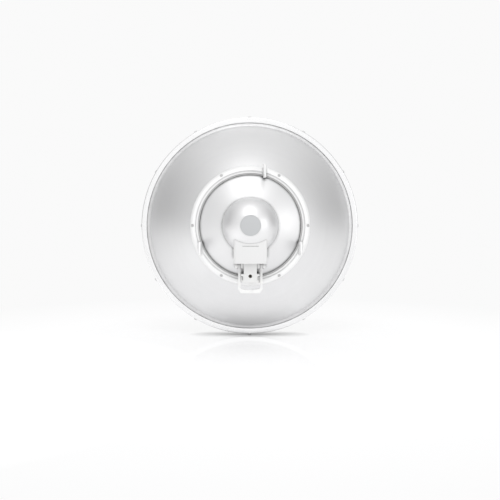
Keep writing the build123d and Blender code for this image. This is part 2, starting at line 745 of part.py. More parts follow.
# --- hooks --------------------------------------------------------------------------------
def hook_body(centre_x, notch_z):
    """Build one downward-opening hook: a plate with a notch, thinning towards its nose."""
    top_z = notch_z + HOOK_ABOVE
    bottom_z = notch_z - HOOK_BELOW
    back_y = -HOOK_REACH
    notch_front_y = NOTCH_Y + NOTCH_R
    notch_back_y = NOTCH_Y - NOTCH_R
    with BuildSketch(Plane.YZ.offset(centre_x)) as side_view:
        with BuildLine():
            Polyline(
                (RING_FLANGE_Y, bottom_z),
                (RING_FLANGE_Y, top_z),
                (back_y + HOOK_NOSE_R, top_z),
            )
            RadiusArc((back_y + HOOK_NOSE_R, top_z), (back_y, top_z - HOOK_NOSE_R), -HOOK_NOSE_R)
            Polyline(
                (back_y, top_z - HOOK_NOSE_R),
                (back_y, bottom_z + HOOK_TOE_H),
                (back_y + HOOK_TOE, bottom_z),
                (notch_back_y - NOTCH_LEAD, bottom_z),
                (notch_back_y, bottom_z + NOTCH_LEAD_H),
                (notch_back_y, notch_z),
            )
            ThreePointArc((notch_back_y, notch_z), (NOTCH_Y, notch_z + NOTCH_R), (notch_front_y, notch_z))
            Polyline(
                (notch_front_y, notch_z),
                (notch_front_y, bottom_z + NOTCH_LEAD_H),
                (notch_front_y + NOTCH_LEAD, bottom_z),
                (RING_FLANGE_Y, bottom_z),
            )
        make_face()
    extrude(side_view.sketch, amount=HOOK_SHEET / 2, both=True)
    # Both flanks slope in from the taper line to the thin nose.
    with BuildSketch(Plane.XY.offset(bottom_z - DRILL)) as flanks:
        for side in (-1, 1):
            with BuildLine():
                Polyline(
                    (centre_x + side * HOOK_SHEET / 2, HOOK_TAPER_Y),
                    (centre_x + side * HOOK_TIP_SHEET / 2, back_y - DRILL),
                    (centre_x + side * HOOK_SHEET, back_y - DRILL),
                    (centre_x + side * HOOK_SHEET, HOOK_TAPER_Y),
                    close=True,
                )
            make_face()
    extrude(flanks.sketch, amount=top_z - bottom_z + 2 * DRILL, mode=Mode.SUBTRACT)
    add(ring_space.part, mode=Mode.SUBTRACT)
    axial_holes(RING_SHANK_R + SLIP / 2, RING_FLANGE_Y, HOOK_THREAD_Y, hook_screw_points)


for hook_label, hook_x, hook_z in (
    ("hook_top", TOP_HOOK_X, TOP_HOOK_Z),
    ("hook_left", -LOW_HOOK_X, LOW_HOOK_Z),
    ("hook_right", LOW_HOOK_X, LOW_HOOK_Z),
):
    with BuildPart() as hook:
        hook_body(hook_x, hook_z)
    keep(hook, hook_label)

with BuildPart() as hook_screws:
    axial_screws(RING_HEAD_R, RING_HEAD_H, RING_SHANK_R, RING_SHOULDER_Y, 1, HOOK_TIP_Y, hook_screw_points)
keep(hook_screws, "hook_screws")

# --- latch bracket ------------------------------------------------------------------------
with BuildPart() as latch_bracket:
    with BuildSketch(back_plane(RING_FLANGE_Y)):
        with Locations((0, (HEAD_TOP_Z + HEAD_BOTTOM_Z) / 2)):
            RectangleRounded(2 * HEAD_HALF, HEAD_TOP_Z - HEAD_BOTTOM_Z, HEAD_CORNER_R)
    extrude(amount=RING_FLANGE_Y - HEAD_BACK_Y)
    with BuildSketch(back_plane(HEAD_BACK_Y + TONGUE_SHEET)):
        with Locations((0, (TONGUE_TOP_Z + HEAD_TOP_Z - TONGUE_LAP) / 2)):
            Rectangle(2 * TONGUE_HALF, TONGUE_TOP_Z - HEAD_TOP_Z + TONGUE_LAP)
    extrude(amount=TONGUE_SHEET)
    # Ribs along the tongue's edges carry the pivot lugs and the foot reaches the dish.
    for side in (-1, 1):
        with BuildSketch(Plane.YZ.offset(side * (TONGUE_HALF - RIB_SHEET))):
            with BuildLine():
                Polyline(
                    (HEAD_BACK_Y + TONGUE_SHEET, TONGUE_TOP_Z - RIB_DROP),
                    (PIVOT_Y, PIVOT_Z + BAIL_EYE_R),
                    (PIVOT_Y, PIVOT_Z - BAIL_EYE_R),
                    (HEAD_BACK_Y + TONGUE_SHEET, HEAD_TOP_Z),
                    (HEAD_BACK_Y + DRILL, HEAD_TOP_Z),
                    (HEAD_BACK_Y + DRILL, TONGUE_TOP_Z - RIB_DROP),
                    close=True,
                )
            make_face()
        extrude(amount=side * RIB_SHEET)
        with BuildSketch(Plane.YZ.offset(side * (TONGUE_HALF - RIB_SHEET))):
            with Locations((PIVOT_Y, PIVOT_Z)):
                Circle(LUG_R)
            with Locations(((PIVOT_Y + HEAD_BACK_Y + TONGUE_SHEET) / 2, PIVOT_Z)):
                Rectangle(PIVOT_Y - HEAD_BACK_Y - TONGUE_SHEET, 2 * LUG_R)
        extrude(amount=side * (HEAD_HALF - TONGUE_HALF + RIB_SHEET))
    with BuildSketch(back_plane(FOOT_FRONT_Y)):
        with Locations((0, FOOT_Z)):
            Rectangle(*FOOT_FACE)
    extrude(amount=FOOT_FRONT_Y - HEAD_BACK_Y - DRILL)
    chamfer(faces().sort_by(Axis.Y)[0].outer_wire().edges(), length=BRACKET_CHAMFER)
    add(ring_space.part, mode=Mode.SUBTRACT)
    add(dish_space.part, mode=Mode.SUBTRACT)
    # Two D-shaped pockets open downwards on each side of the lock screw's boss.
    with BuildSketch(Plane.XY.offset(HEAD_BOTTOM_Z - DRILL)):
        for side in (-1, 1):
            with BuildLine():
                Polyline(*[(side * x, y) for x, y in POCKET_OUTLINE], close=True)
            make_face()
    extrude(amount=POCKET_DEPTH + DRILL, mode=Mode.SUBTRACT)
    # L-shaped slots free a springy tab on each side, which grips the closed bail.
    with BuildSketch(back_plane(HEAD_BACK_Y + SLOT_DEPTH)):
        for side in (-1, 1):
            for x, z, width, height in SLOTS:
                with Locations((side * x, z)):
                    Rectangle(width, height)
    extrude(amount=SLOT_DEPTH + DRILL, mode=Mode.SUBTRACT)
    axial_holes(LOCK_INSERT_R, RING_FLANGE_Y, HEAD_BACK_Y - DRILL, [(0, LOCK_Z)])
    axial_holes(LOCK_MOUTH_R, HEAD_BACK_Y + LOCK_MOUTH_DEPTH, HEAD_BACK_Y - DRILL, [(0, LOCK_Z)])
    axial_holes(RING_SHANK_R + SLIP / 2, RING_FLANGE_Y, BRACKET_THREAD_Y, bracket_screw_points)
    axial_holes(RING_HOLE_R, RING_FLANGE_Y, HEAD_BACK_Y - DRILL, [foot_screw_point])
    for side in (-1, 1):
        with BuildSketch(Plane.YZ.offset(side * (TONGUE_HALF - PIN_HOLE_SETBACK))):
            with Locations((PIVOT_Y, PIVOT_Z)):
                Circle(PIN_R + SLIP / 2)
        extrude(amount=side * HEAD_HALF, mode=Mode.SUBTRACT)
keep(latch_bracket, "latch_bracket")

with BuildPart() as lock_insert:
    insert_back_y = HEAD_BACK_Y + LOCK_MOUTH_DEPTH
    with BuildSketch(back_plane(insert_back_y + LOCK_INSERT_LENGTH)):
        with Locations((0, LOCK_Z)):
            Circle(LOCK_INSERT_R)
            Circle(LOCK_THREAD_R, mode=Mode.SUBTRACT)
    extrude(amount=LOCK_INSERT_LENGTH)
keep(lock_insert, "lock_insert")

with BuildPart() as bracket_screws:
    flange_front_y = RING_FLANGE_Y + RING_SHEET
    axial_screws(*CAP_HEAD, RING_SHANK_R, flange_front_y, 1, BRACKET_TIP_Y, bracket_screw_points)
    axial_screws(RING_HEAD_R, RING_HEAD_H, RING_SHANK_R, HEAD_BACK_Y, -1, FOOT_TIP_Y, [foot_screw_point])
keep(bracket_screws, "bracket_screws")

with BuildPart() as foot_nut:
    foot_seat_y = dish_y(abs(FOOT_SCREW_Z) + NUT_R + 2 * SLIP) + DISH_SHEET
    with BuildSketch(back_plane(foot_seat_y + RING_NUT_H)):
        with Locations(foot_screw_point):
            RegularPolygon(NUT_R, 6)
            Circle(RING_SHANK_R + SLIP / 2, mode=Mode.SUBTRACT)
    extrude(amount=RING_NUT_H)
keep(foot_nut, "foot_nut")

# --- latch bail ---------------------------------------------------------------------------
with BuildPart() as latch_bail:
    # Side view of an arm: a round eye, then a blade that leans back to the pull bar.
    with BuildSketch(Plane.YZ.offset(-BAIL_HALF)):
        with BuildLine():
            Spline(
                (PIVOT_Y - BAIL_EYE_R, PIVOT_Z),
                *BAIL_BACK_EDGE,
                tangents=((0, -1), (-0.1, -1)),
            )
            RadiusArc(BAIL_BACK_EDGE[-1], (BAIL_BAR_Y[0], BAIL_BOTTOM_Z), -BAIL_BAR_RADII[0])
            Line((BAIL_BAR_Y[0], BAIL_BOTTOM_Z), (BAIL_BAR_Y[1], BAIL_BOTTOM_Z))
            RadiusArc((BAIL_BAR_Y[1], BAIL_BOTTOM_Z), BAIL_FRONT_EDGE[0], -BAIL_BAR_RADII[1])
            Spline(
                *BAIL_FRONT_EDGE,
                (PIVOT_Y + BAIL_EYE_R, PIVOT_Z),
                tangents=((0.0, 1), (0.0, 1)),
            )
            ThreePointArc(
                (PIVOT_Y + BAIL_EYE_R, PIVOT_Z),
                (PIVOT_Y, PIVOT_Z + BAIL_EYE_R),
                (PIVOT_Y - BAIL_EYE_R, PIVOT_Z),
            )
        make_face()
    extrude(amount=2 * BAIL_HALF)
    # Back view: the U outline with its chamfered lower corners and sagging inner edge.
    with BuildSketch(back_plane(RING_FLANGE_Y)):
        arm_in_x = BAIL_HALF - BAIL_ARM
        sag_x = arm_in_x - BAIL_INNER_CORNER
        corner_r = BAIL_BAR_RADII[1]
        with BuildLine():
            Polyline(
                (-BAIL_HALF, BAIL_SHOULDER_Z),
                (-BAIL_HALF, BAIL_ARM_TOP_Z),
                (-arm_in_x, BAIL_ARM_TOP_Z),
                (-arm_in_x, BAIL_INNER_Z),
            )
            RadiusArc((-arm_in_x, BAIL_INNER_Z), (-sag_x, BAIL_SHOULDER_Z), -corner_r)
            ThreePointArc((-sag_x, BAIL_SHOULDER_Z), (0, BAIL_SAG_Z), (sag_x, BAIL_SHOULDER_Z))
            RadiusArc((sag_x, BAIL_SHOULDER_Z), (arm_in_x, BAIL_INNER_Z), -corner_r)
            Polyline(
                (arm_in_x, BAIL_INNER_Z),
                (arm_in_x, BAIL_ARM_TOP_Z),
                (BAIL_HALF, BAIL_ARM_TOP_Z),
                (BAIL_HALF, BAIL_SHOULDER_Z),
                (BAIL_FOOT_HALF, BAIL_BOTTOM_Z),
                (-BAIL_FOOT_HALF, BAIL_BOTTOM_Z),
                (-BAIL_HALF, BAIL_SHOULDER_Z),
            )
        make_face()
    extrude(amount=BAIL_CUT_DEPTH, mode=Mode.INTERSECT)
    # Shallow scoop for the finger in the back of the pull bar.
    with BuildSketch(Plane.XY.offset(BAIL_BOTTOM_Z - DRILL)):
        with Locations((0, SCOOP_Y)):
            Ellipse(*SCOOP_RADII)
    extrude(amount=SCOOP_HEIGHT + DRILL, mode=Mode.SUBTRACT)
    for side in (-1, 1):
        with BuildSketch(Plane.YZ.offset(side * (arm_in_x - DRILL))):
            with Locations((PIVOT_Y, PIVOT_Z)):
                Circle(PIN_HOLE_R)
        extrude(amount=side * (BAIL_ARM + 2 * DRILL), mode=Mode.SUBTRACT)
keep(latch_bail, "latch_bail")

with BuildPart() as latch_pins:
    for side in (-1, 1):
        with BuildSketch(Plane.YZ.offset(side * PIN_IN_X)):
            with Locations((PIVOT_Y, PIVOT_Z)):
                Circle(PIN_R)
        extrude(amount=side * (BAIL_HALF + PIN_GAP + SLIP - PIN_IN_X))
        with BuildSketch(Plane.YZ.offset(side * (BAIL_HALF + PIN_GAP))):
            with Locations((PIVOT_Y, PIVOT_Z)):
                Circle(PIN_HEAD_R)
        extrude(amount=side * (PIN_HEAD_OUT_X - BAIL_HALF - PIN_GAP))
keep(latch_pins, "latch_pins")

# --- hub base and dome --------------------------------------------------------------------
with BuildPart() as hub_base:
    skirt_in_r = dome_r(HUB_FOOT_Y) - DOME_WALL
    with BuildSketch(Plane.XY):
        with BuildLine():
            dome_arc(HUB_FOOT_Y, HUB_SEAM_Y)
            Polyline(
                (dome_r(HUB_SEAM_Y), HUB_SEAM_Y),
                (SPIGOT_R, HUB_SEAM_Y),
                (SPIGOT_R, SPIGOT_BACK_Y),
                (SPIGOT_R - DOME_WALL, SPIGOT_BACK_Y),
                (SPIGOT_R - DOME_WALL, HUB_FLOOR_BACK_Y),
                (DISH_BORE_R, HUB_FLOOR_BACK_Y),
                (DISH_BORE_R, dish_y(DISH_BORE_R) - SLIP),
            )
            parabola(DISH_BORE_R, HUB_PAD_R, -SLIP)
            Polyline(
                (HUB_PAD_R, dish_y(HUB_PAD_R) - SLIP),
                (HUB_PAD_R, HUB_FLOOR_FRONT_Y),
                (SPIGOT_R, HUB_FLOOR_FRONT_Y + HUB_FLOOR_STEP),
                (skirt_in_r, HUB_FOOT_Y),
                (dome_r(HUB_FOOT_Y), HUB_FOOT_Y),
            )
        make_face()
    revolve(axis=Axis.Y)
    neck_height = NECK_TOP_Z - NECK_BOTTOM_Z
    with BuildSketch(Plane.XY.offset(NECK_BOTTOM_Z)):
        with Locations((0, (NECK_FRONT_Y + NECK_BACK_Y) / 2)):
            Rectangle(2 * NECK_HALF, NECK_FRONT_Y - NECK_BACK_Y)
        fillet(vertices().sort_by(Axis.Y)[:2], radius=NECK_CORNER_R)
    extrude(amount=neck_height)
    with BuildSketch(Plane.XY.offset(NECK_BOTTOM_Z)):
        neck_room_back_y = NECK_BACK_Y + NECK_SHEET
        with Locations((0, (HUB_FLOOR_BACK_Y + neck_room_back_y) / 2)):
            Rectangle(2 * (NECK_HALF - NECK_SHEET), HUB_FLOOR_BACK_Y - neck_room_back_y)
        fillet(vertices().sort_by(Axis.Y)[:2], radius=NECK_CORNER_R - NECK_SHEET)
    extrude(amount=neck_height + DRILL, mode=Mode.SUBTRACT)
    add(dish_space.part, mode=Mode.SUBTRACT)
    with BuildSketch(Plane.XY):
        with BuildLine():
            parabola(DISH_BORE_R, HUB_PAD_R, -SLIP)
            Polyline(
                (HUB_PAD_R, dish_y(HUB_PAD_R) - SLIP),
                (HUB_PAD_R, HUB_FLOOR_BACK_Y),
                (DISH_BORE_R, HUB_FLOOR_BACK_Y),
                (DISH_BORE_R, dish_y(DISH_BORE_R) - SLIP),
            )
        make_face()
    revolve(axis=Axis.Y)
    axial_holes(RING_HOLE_R, FEED_FLANGE_FRONT_Y, NECK_BACK_Y, hub_screw_points)
    axial_holes(SMALL_HOLE_R, FEED_FLANGE_FRONT_Y, DOME_HOLE_END_Y, dome_screw_points)
keep(hub_base, "hub_base")

with BuildPart() as hub_gasket:
    gasket_r = dome_r(HUB_FOOT_Y)
    with BuildSketch(Plane.XY):
        with BuildLine():
            parabola(gasket_r - DOME_WALL, gasket_r)
            Polyline(
                (gasket_r, dish_y(gasket_r)),
                (gasket_r, HUB_FOOT_Y),
                (gasket_r - DOME_WALL, HUB_FOOT_Y),
                (gasket_r - DOME_WALL, dish_y(gasket_r - DOME_WALL)),
            )
        make_face()
    revolve(axis=Axis.Y)
keep(hub_gasket, "hub_gasket")

with BuildPart() as hub_dome:
    dome_front_y = HUB_SEAM_Y - HUB_SEAL
    dome_end_angle = 90 - degrees(asin(DOME_END_R / DOME_R))
    dome_end_y = DOME_CENTRE_Y - DOME_DEPTH * sin(radians(dome_end_angle))
    inner_end_y = dome_end_y + DOME_WALL
    with BuildSketch(Plane.XY):
        with BuildLine():
            dome_arc(dome_front_y, dome_end_y)
            Polyline(
                (dome_r(dome_end_y), dome_end_y),
                (0, dome_end_y),
                (0, inner_end_y),
                (dome_r(inner_end_y, DOME_WALL), inner_end_y),
            )
            dome_arc(dome_front_y, inner_end_y, DOME_WALL)
            Line((dome_r(dome_front_y, DOME_WALL), dome_front_y), (dome_r(dome_front_y), dome_front_y))
        make_face()
    revolve(axis=Axis.Y)
    boss_front_y = HUB_FLOOR_BACK_Y - HUB_SEAL
    with BuildSketch(back_plane(boss_front_y)):
        with Locations(*dome_screw_points):
            Circle(DOME_BOSS_R)
    extrude(amount=DOME_BOSS_LENGTH)
    axial_holes(SMALL_THREAD_R, boss_front_y + DRILL, boss_front_y - DOME_THREAD_LENGTH, dome_screw_points)
    with BuildSketch(back_plane(dome_end_y + DISC_SHEET)):
        Circle(DOME_END_R - DISC_GAP)
    extrude(amount=DISC_SHEET + DRILL, mode=Mode.SUBTRACT)
    # Opening that the neck passes through.
    with BuildSketch(Plane.XY.offset(NECK_BOTTOM_Z)):
        with Locations((0, (NECK_FRONT_Y + NECK_BACK_Y) / 2)):
            Rectangle(2 * (NECK_HALF + COVER_GAP), NECK_FRONT_Y - NECK_BACK_Y + 2 * COVER_GAP)
        fillet(vertices().sort_by(Axis.Y)[:2], radius=NECK_CORNER_R)
    extrude(amount=neck_height + COVER_GAP, mode=Mode.SUBTRACT)
keep(hub_dome, "hub_dome")

with BuildPart() as end_disc:
    with BuildSketch(back_plane(dome_end_y + DISC_SHEET)):
        Circle(DOME_END_R - 2 * DISC_GAP)
    extrude(amount=DISC_SHEET)
keep(end_disc, "end_disc")

with BuildPart() as dome_seal:
    with BuildSketch(back_plane(HUB_SEAM_Y)):
        Circle(dome_r(HUB_SEAM_Y) - 3 * DISC_GAP)
        Circle(dome_r(HUB_SEAM_Y, DOME_WALL) + 2 * DISC_GAP, mode=Mode.SUBTRACT)
        with Locations((0, NECK_TOP_Z - DOME_R / 2)):
            Rectangle(2 * NECK_HALF + DRILL, DOME_R, mode=Mode.SUBTRACT)
    extrude(amount=HUB_SEAL)
keep(dome_seal, "dome_seal")

with BuildPart() as hub_screws:
    axial_screws(*HUB_HEAD, RING_SHANK_R, HUB_FLOOR_BACK_Y, -1, HUB_TIP_Y, hub_screw_points)
keep(hub_screws, "hub_screws")

with BuildPart() as dome_screws:
    dome_seat_y = HUB_FLOOR_FRONT_Y + HUB_FLOOR_STEP
    dome_tip_y = boss_front_y - DOME_THREAD_LENGTH + DRILL
    axial_screws(*DOME_HEAD, SMALL_SHANK_R, dome_seat_y, 1, dome_tip_y, dome_screw_points)
keep(dome_screws, "dome_screws")

# --- radio --------------------------------------------------------------------------------
board_back_y = BOARD_FRONT_Y - BOARD_SHEET
with BuildPart() as main_board:
    with BuildSketch(back_plane(BOARD_FRONT_Y)):
        Circle(BOARD_R)
        with Locations((0, BOARD_TAB_Z / 2)):
            Rectangle(2 * BOARD_TAB_HALF, -BOARD_TAB_Z)
    extrude(amount=BOARD_SHEET)
    axial_holes(BOARD_HOLE_R, BOARD_FRONT_Y + DRILL, board_back_y - DRILL, standoff_points)
    # Transformers and regulators along the tab.
    with BuildSketch(back_plane(board_back_y)):
        with Locations(*COMPONENT_POINTS):
            RectangleRounded(*COMPONENT_FACE)
    extrude(amount=COMPONENT_HEIGHT)
keep(main_board, "main_board")

with BuildPart() as board_screws:
    axial_screws(*BOARD_HEAD, SMALL_SHANK_R, board_back_y, -1, HUB_FLOOR_BACK_Y, standoff_points)
keep(board_screws, "board_screws")

with BuildPart() as board_standoffs:
    with BuildSketch(back_plane(HUB_FLOOR_BACK_Y)):
        with Locations(*standoff_points):
            RegularPolygon(STANDOFF_R, 6)
            Circle(SMALL_THREAD_R, mode=Mode.SUBTRACT)
    extrude(amount=HUB_FLOOR_BACK_Y - BOARD_FRONT_Y)
keep(board_standoffs, "board_standoffs")

with BuildPart() as rf_shield:
    with BuildSketch(back_plane(board_back_y)):
        RectangleRounded(SHIELD_SIZE[0], SHIELD_SIZE[1], SHIELD_CORNER_R)
    extrude(amount=SHIELD_SIZE[2])
    with BuildSketch(back_plane(board_back_y)):
        shield_room = (SHIELD_SIZE[0] - 2 * SHIELD_SHEET, SHIELD_SIZE[1] - 2 * SHIELD_SHEET)
        RectangleRounded(*shield_room, SHIELD_CORNER_R - SHIELD_SHEET)
    extrude(amount=SHIELD_SIZE[2] - SHIELD_SHEET, mode=Mode.SUBTRACT)
keep(rf_shield, "rf_shield")

shield_back_y = board_back_y - SHIELD_SIZE[2]
with BuildPart() as thermal_pad:
    with BuildSketch(back_plane(shield_back_y)):
        Rectangle(SHIELD_SIZE[0] - PAD_MARGIN, SHIELD_SIZE[1] - PAD_MARGIN)
    extrude(amount=PAD_SHEET)
keep(thermal_pad, "thermal_pad")

with BuildPart() as heat_sink:
    sink_front_y = shield_back_y - PAD_SHEET
    with BuildSketch(back_plane(sink_front_y)):
        Circle(SINK_R)
    extrude(amount=SINK_BASE)
    with BuildSketch(back_plane(sink_front_y)):
        with GridLocations(FIN_PITCH, 1, FIN_COUNT, 1):
            Rectangle(FIN_SHEET, 2 * SINK_R)
    extrude(amount=sink_front_y - FIN_TIP_Y)
    with BuildSketch(back_plane(sink_front_y + DRILL)):
        Circle(SINK_R)
    extrude(amount=sink_front_y - FIN_TIP_Y + 2 * DRILL, mode=Mode.INTERSECT)
keep(heat_sink, "heat_sink")

with BuildPart() as ethernet_jack:
    jack_back_y = board_back_y - JACK_HEIGHT
    jack_middle_y = (board_back_y + jack_back_y) / 2
    with BuildSketch(Plane.XY.offset(JACK_MOUTH_Z)):
        with Locations((0, jack_middle_y)):
            Rectangle(2 * JACK_HALF, JACK_HEIGHT)
    extrude(amount=JACK_TOP_Z - JACK_MOUTH_Z)
    with BuildSketch(Plane.XY.offset(JACK_MOUTH_Z)):
        with Locations((0, jack_middle_y)):
            Rectangle(2 * SOCKET_HALF, SOCKET_HEIGHT)
        with Locations((0, jack_middle_y - SOCKET_HEIGHT / 2 - KEYWAY_SHIFT)):
            Rectangle(*KEYWAY)
    extrude(amount=SOCKET_DEPTH, mode=Mode.SUBTRACT)
keep(ethernet_jack, "ethernet_jack")

# --- port bay and its small parts ---------------------------------------------------------
with BuildPart() as port_bay:
    with BuildSketch(Plane.XY.offset(BAY_BOTTOM_Z)):
        cover_outline(COVER_WALL + COVER_GAP, BAY_FRONT_Y)
        for side in (-1, 1):
            with Locations((side * (COVER_HALF - COVER_WALL + JACK_PLAY), RAIL_Y)):
                Rectangle(BAY_TONGUE, 2 * RAIL_HALF - 2 * COVER_GAP)
        with Locations((0, jack_middle_y)):
            Rectangle(2 * (JACK_HALF + JACK_PLAY), JACK_HEIGHT + 2 * JACK_PLAY, mode=Mode.SUBTRACT)
        with Locations(BUTTON_POINT):
            Circle(BUTTON_R + BUTTON_PLAY, mode=Mode.SUBTRACT)
        with Locations(VENT_POINT):
            Circle(VENT_R + SLIP, mode=Mode.SUBTRACT)
        with Locations(GROUND_POINT):
            Circle(GROUND_R + SLIP / 2, mode=Mode.SUBTRACT)
        with Locations(*LIGHT_POINTS):
            Circle(LIGHT_R + SLIP / 2, mode=Mode.SUBTRACT)
    extrude(amount=BAY_SHEET)
    # Raised frame round the jack keeps drips out of the socket.
    with BuildSketch(Plane.XY.offset(BAY_BOTTOM_Z)):
        with Locations((0, jack_middle_y)):
            frame_grow = 2 * (JACK_PLAY + BAY_FRAME_WALL)
            Rectangle(2 * JACK_HALF + frame_grow, JACK_HEIGHT + frame_grow)
            Rectangle(2 * (JACK_HALF + JACK_PLAY), JACK_HEIGHT + 2 * JACK_PLAY, mode=Mode.SUBTRACT)
    extrude(amount=-BAY_FRAME_HEIGHT)
keep(port_bay, "port_bay")

with BuildPart() as reset_button:
    with BuildSketch(Plane.XY.offset(BAY_BOTTOM_Z - BUTTON_PROUD)):
        with Locations(BUTTON_POINT):
            Circle(BUTTON_R)
    extrude(amount=BUTTON_LENGTH)
    with BuildSketch(Plane.XY.offset(NECK_BOTTOM_Z + BUTTON_TRAVEL_GAP)):
        with Locations(BUTTON_POINT):
            Circle(BUTTON_LIP[0])
    extrude(amount=BUTTON_LIP[1])
    fillet(faces().sort_by(Axis.Z)[0].edges(), radius=BUTTON_ROUND)
keep(reset_button, "reset_button")

with BuildPart() as light_pipes:
    with BuildSketch(Plane.XY.offset(BAY_BOTTOM_Z - LIGHT_PROUD)):
        with Locations(*LIGHT_POINTS):
            Circle(LIGHT_R)
    extrude(amount=LIGHT_LENGTH)
    with BuildSketch(Plane.XY.offset(NECK_BOTTOM_Z + LIGHT_R)):
        with Locations(LIGHT_POINTS[1]):
            Rectangle(*LIGHT_BAR[:2])
    extrude(amount=LIGHT_BAR[2])
keep(light_pipes, "light_pipes")

with BuildPart() as vent_plug:
    with BuildSketch(Plane.XY.offset(BAY_BOTTOM_Z)):
        with Locations(VENT_POINT):
            Circle(VENT_R)
    extrude(amount=BAY_SHEET + BAY_FRAME_HEIGHT)
    with BuildSketch(Plane.XY.offset(BAY_BOTTOM_Z)):
        with Locations(VENT_POINT):
            Circle(VENT_HEAD[0])
    extrude(amount=-VENT_HEAD[1])
    fillet(faces().sort_by(Axis.Z)[0].edges(), radius=VENT_ROUND)
keep(vent_plug, "vent_plug")

with BuildPart() as ground_screw:
    with BuildSketch(Plane.XY.offset(BAY_BOTTOM_Z)):
        with Locations(GROUND_POINT):
            Circle(GROUND_R)
    extrude(amount=BAY_SHEET + GROUND_TAIL)
    with BuildSketch(Plane.XY.offset(BAY_BOTTOM_Z)):
        with Locations(GROUND_POINT):
            Circle(GROUND_HEAD[0])
    extrude(amount=-GROUND_HEAD[1])
    with BuildSketch(Plane.XY.offset(BAY_BOTTOM_Z - GROUND_HEAD[1])):
        with Locations(GROUND_POINT):
            Rectangle(CROSS_SLOT[0], CROSS_SLOT[1])
            Rectangle(CROSS_SLOT[1], CROSS_SLOT[0])
    extrude(amount=CROSS_SLOT[2], mode=Mode.SUBTRACT)
keep(ground_screw, "ground_screw")

with BuildPart() as port_cover:
    with BuildSketch(Plane.XY.offset(COVER_BOTTOM_Z)):
        cover_outline(0, 0)
    extrude(amount=COVER_TOP_Z - COVER_BOTTOM_Z)
    with BuildSketch(Plane.XY.offset(COVER_BOTTOM_Z)):
        cover_outline(COVER_WALL, DRILL)
        for side in (-1, 1):
            with Locations((side * (COVER_HALF - COVER_WALL), RAIL_Y)):
                Rectangle(2 * RAIL_DEPTH, 2 * RAIL_HALF)
    extrude(amount=COVER_TOP_Z - COVER_BOTTOM_Z, mode=Mode.SUBTRACT)
    # The side walls end higher than the back wall, which hangs down over the cable.
    with BuildSketch(Plane.YZ):
        with BuildLine():
            Polyline(*COVER_SIDE_CUT, close=True)
        make_face()
    extrude(amount=COVER_HALF + DRILL, both=True, mode=Mode.SUBTRACT)
    add(dish_space.part, mode=Mode.SUBTRACT)
    add(dome_space.part, mode=Mode.SUBTRACT)
    # Thumb groove across the upper back.
    groove_middle_y = BULGE_CENTRE_Y - BULGE_R + GROOVE_DEPTH
    groove_end_y = groove_middle_y + GROOVE_BOW
    with BuildSketch(Plane.XY.offset(GROOVE_Z)):
        with BuildLine():
            ThreePointArc((-GROOVE_HALF, groove_end_y), (0, groove_middle_y), (GROOVE_HALF, groove_end_y))
            Polyline(
                (GROOVE_HALF, groove_end_y),
                (GROOVE_HALF, DOME_CENTRE_Y - DOME_DEPTH),
                (-GROOVE_HALF, DOME_CENTRE_Y - DOME_DEPTH),
                (-GROOVE_HALF, groove_end_y),
            )
        make_face()
    extrude(amount=GROOVE_WIDTH, mode=Mode.SUBTRACT)
keep(port_cover, "port_cover")

# --- feed ---------------------------------------------------------------------------------
with BuildPart() as feed_flange:
    with BuildSketch(Plane.XY):
        with BuildLine():
            parabola(TUBE_R + SLIP, FEED_FLANGE_R, DISH_SHEET + SLIP)
            Polyline(
                (FEED_FLANGE_R, dish_y(FEED_FLANGE_R) + DISH_SHEET + SLIP),
                (FEED_FLANGE_R, FEED_FLANGE_FRONT_Y),
                (COLLAR_R, FEED_FLANGE_FRONT_Y),
                (COLLAR_R, COLLAR_FRONT_Y),
                (TUBE_R + SLIP, COLLAR_FRONT_Y),
                (TUBE_R + SLIP, dish_y(TUBE_R + SLIP) + DISH_SHEET + SLIP),
            )
        make_face()
    revolve(axis=Axis.Y)
    axial_holes(RING_SHANK_R + SLIP / 2, FEED_FLANGE_FRONT_Y - DRILL, HUB_FLOOR_FRONT_Y, hub_screw_points)
keep(feed_flange, "feed_flange")

with BuildPart() as feed_seal:
    with BuildSketch(Plane.XY):
        with Locations((TUBE_R + FEED_SEAL_POINT[0], dish_y(TUBE_R) + FEED_SEAL_POINT[1])):
            Circle(FEED_SEAL_R)
    revolve(axis=Axis.Y)
keep(feed_seal, "feed_seal")

with BuildPart() as feed_tube:
    with BuildSketch(back_plane(TUBE_FRONT_Y)):
        Circle(TUBE_R)
        Circle(TUBE_BORE_R, mode=Mode.SUBTRACT)
    extrude(amount=TUBE_FRONT_Y - TUBE_BACK_Y)
keep(feed_tube, "feed_tube")

with BuildPart() as feed_cone:
    with BuildSketch(Plane.XY):
        with BuildLine():
            Polyline(
                (0, TUBE_FRONT_Y - 2 * CONE_PLUG),
                (TUBE_BORE_R - SLIP, TUBE_FRONT_Y - CONE_PLUG),
                (TUBE_BORE_R - SLIP, TUBE_FRONT_Y),
                (TUBE_R, TUBE_FRONT_Y),
                (TUBE_R, TUBE_FRONT_Y + CONE_COLLAR),
                (CONE_R, CONE_FRONT_Y),
                (0, CONE_APEX_Y),
                close=True,
            )
        make_face()
    revolve(axis=Axis.Y)
keep(feed_cone, "feed_cone")

with BuildPart() as subreflector:
    with BuildSketch(Plane.XY):
        with BuildLine():
            Polyline(
                (0, CONE_APEX_Y),
                (CONE_R, CONE_FRONT_Y),
                (CONE_R, CONE_FRONT_Y + SUBREFLECTOR_SHEET),
                (0, CONE_FRONT_Y + SUBREFLECTOR_SHEET),
                close=True,
            )
        make_face()
    revolve(axis=Axis.Y)
keep(subreflector, "subreflector")
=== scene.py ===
"""Visual model of an outdoor wireless bridge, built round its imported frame.

Metres. +Y is the boresight (the radome side), +Z is up and -Y is the back.
"""

import json
import logging
from contextlib import contextmanager
from dataclasses import dataclass
from enum import Enum
from math import asin, atan2, cos, degrees, hypot, pi, radians, sin, sqrt
from typing import Callable, Iterator, Sequence

import bmesh
import bpy
from mathutils import Matrix, Vector


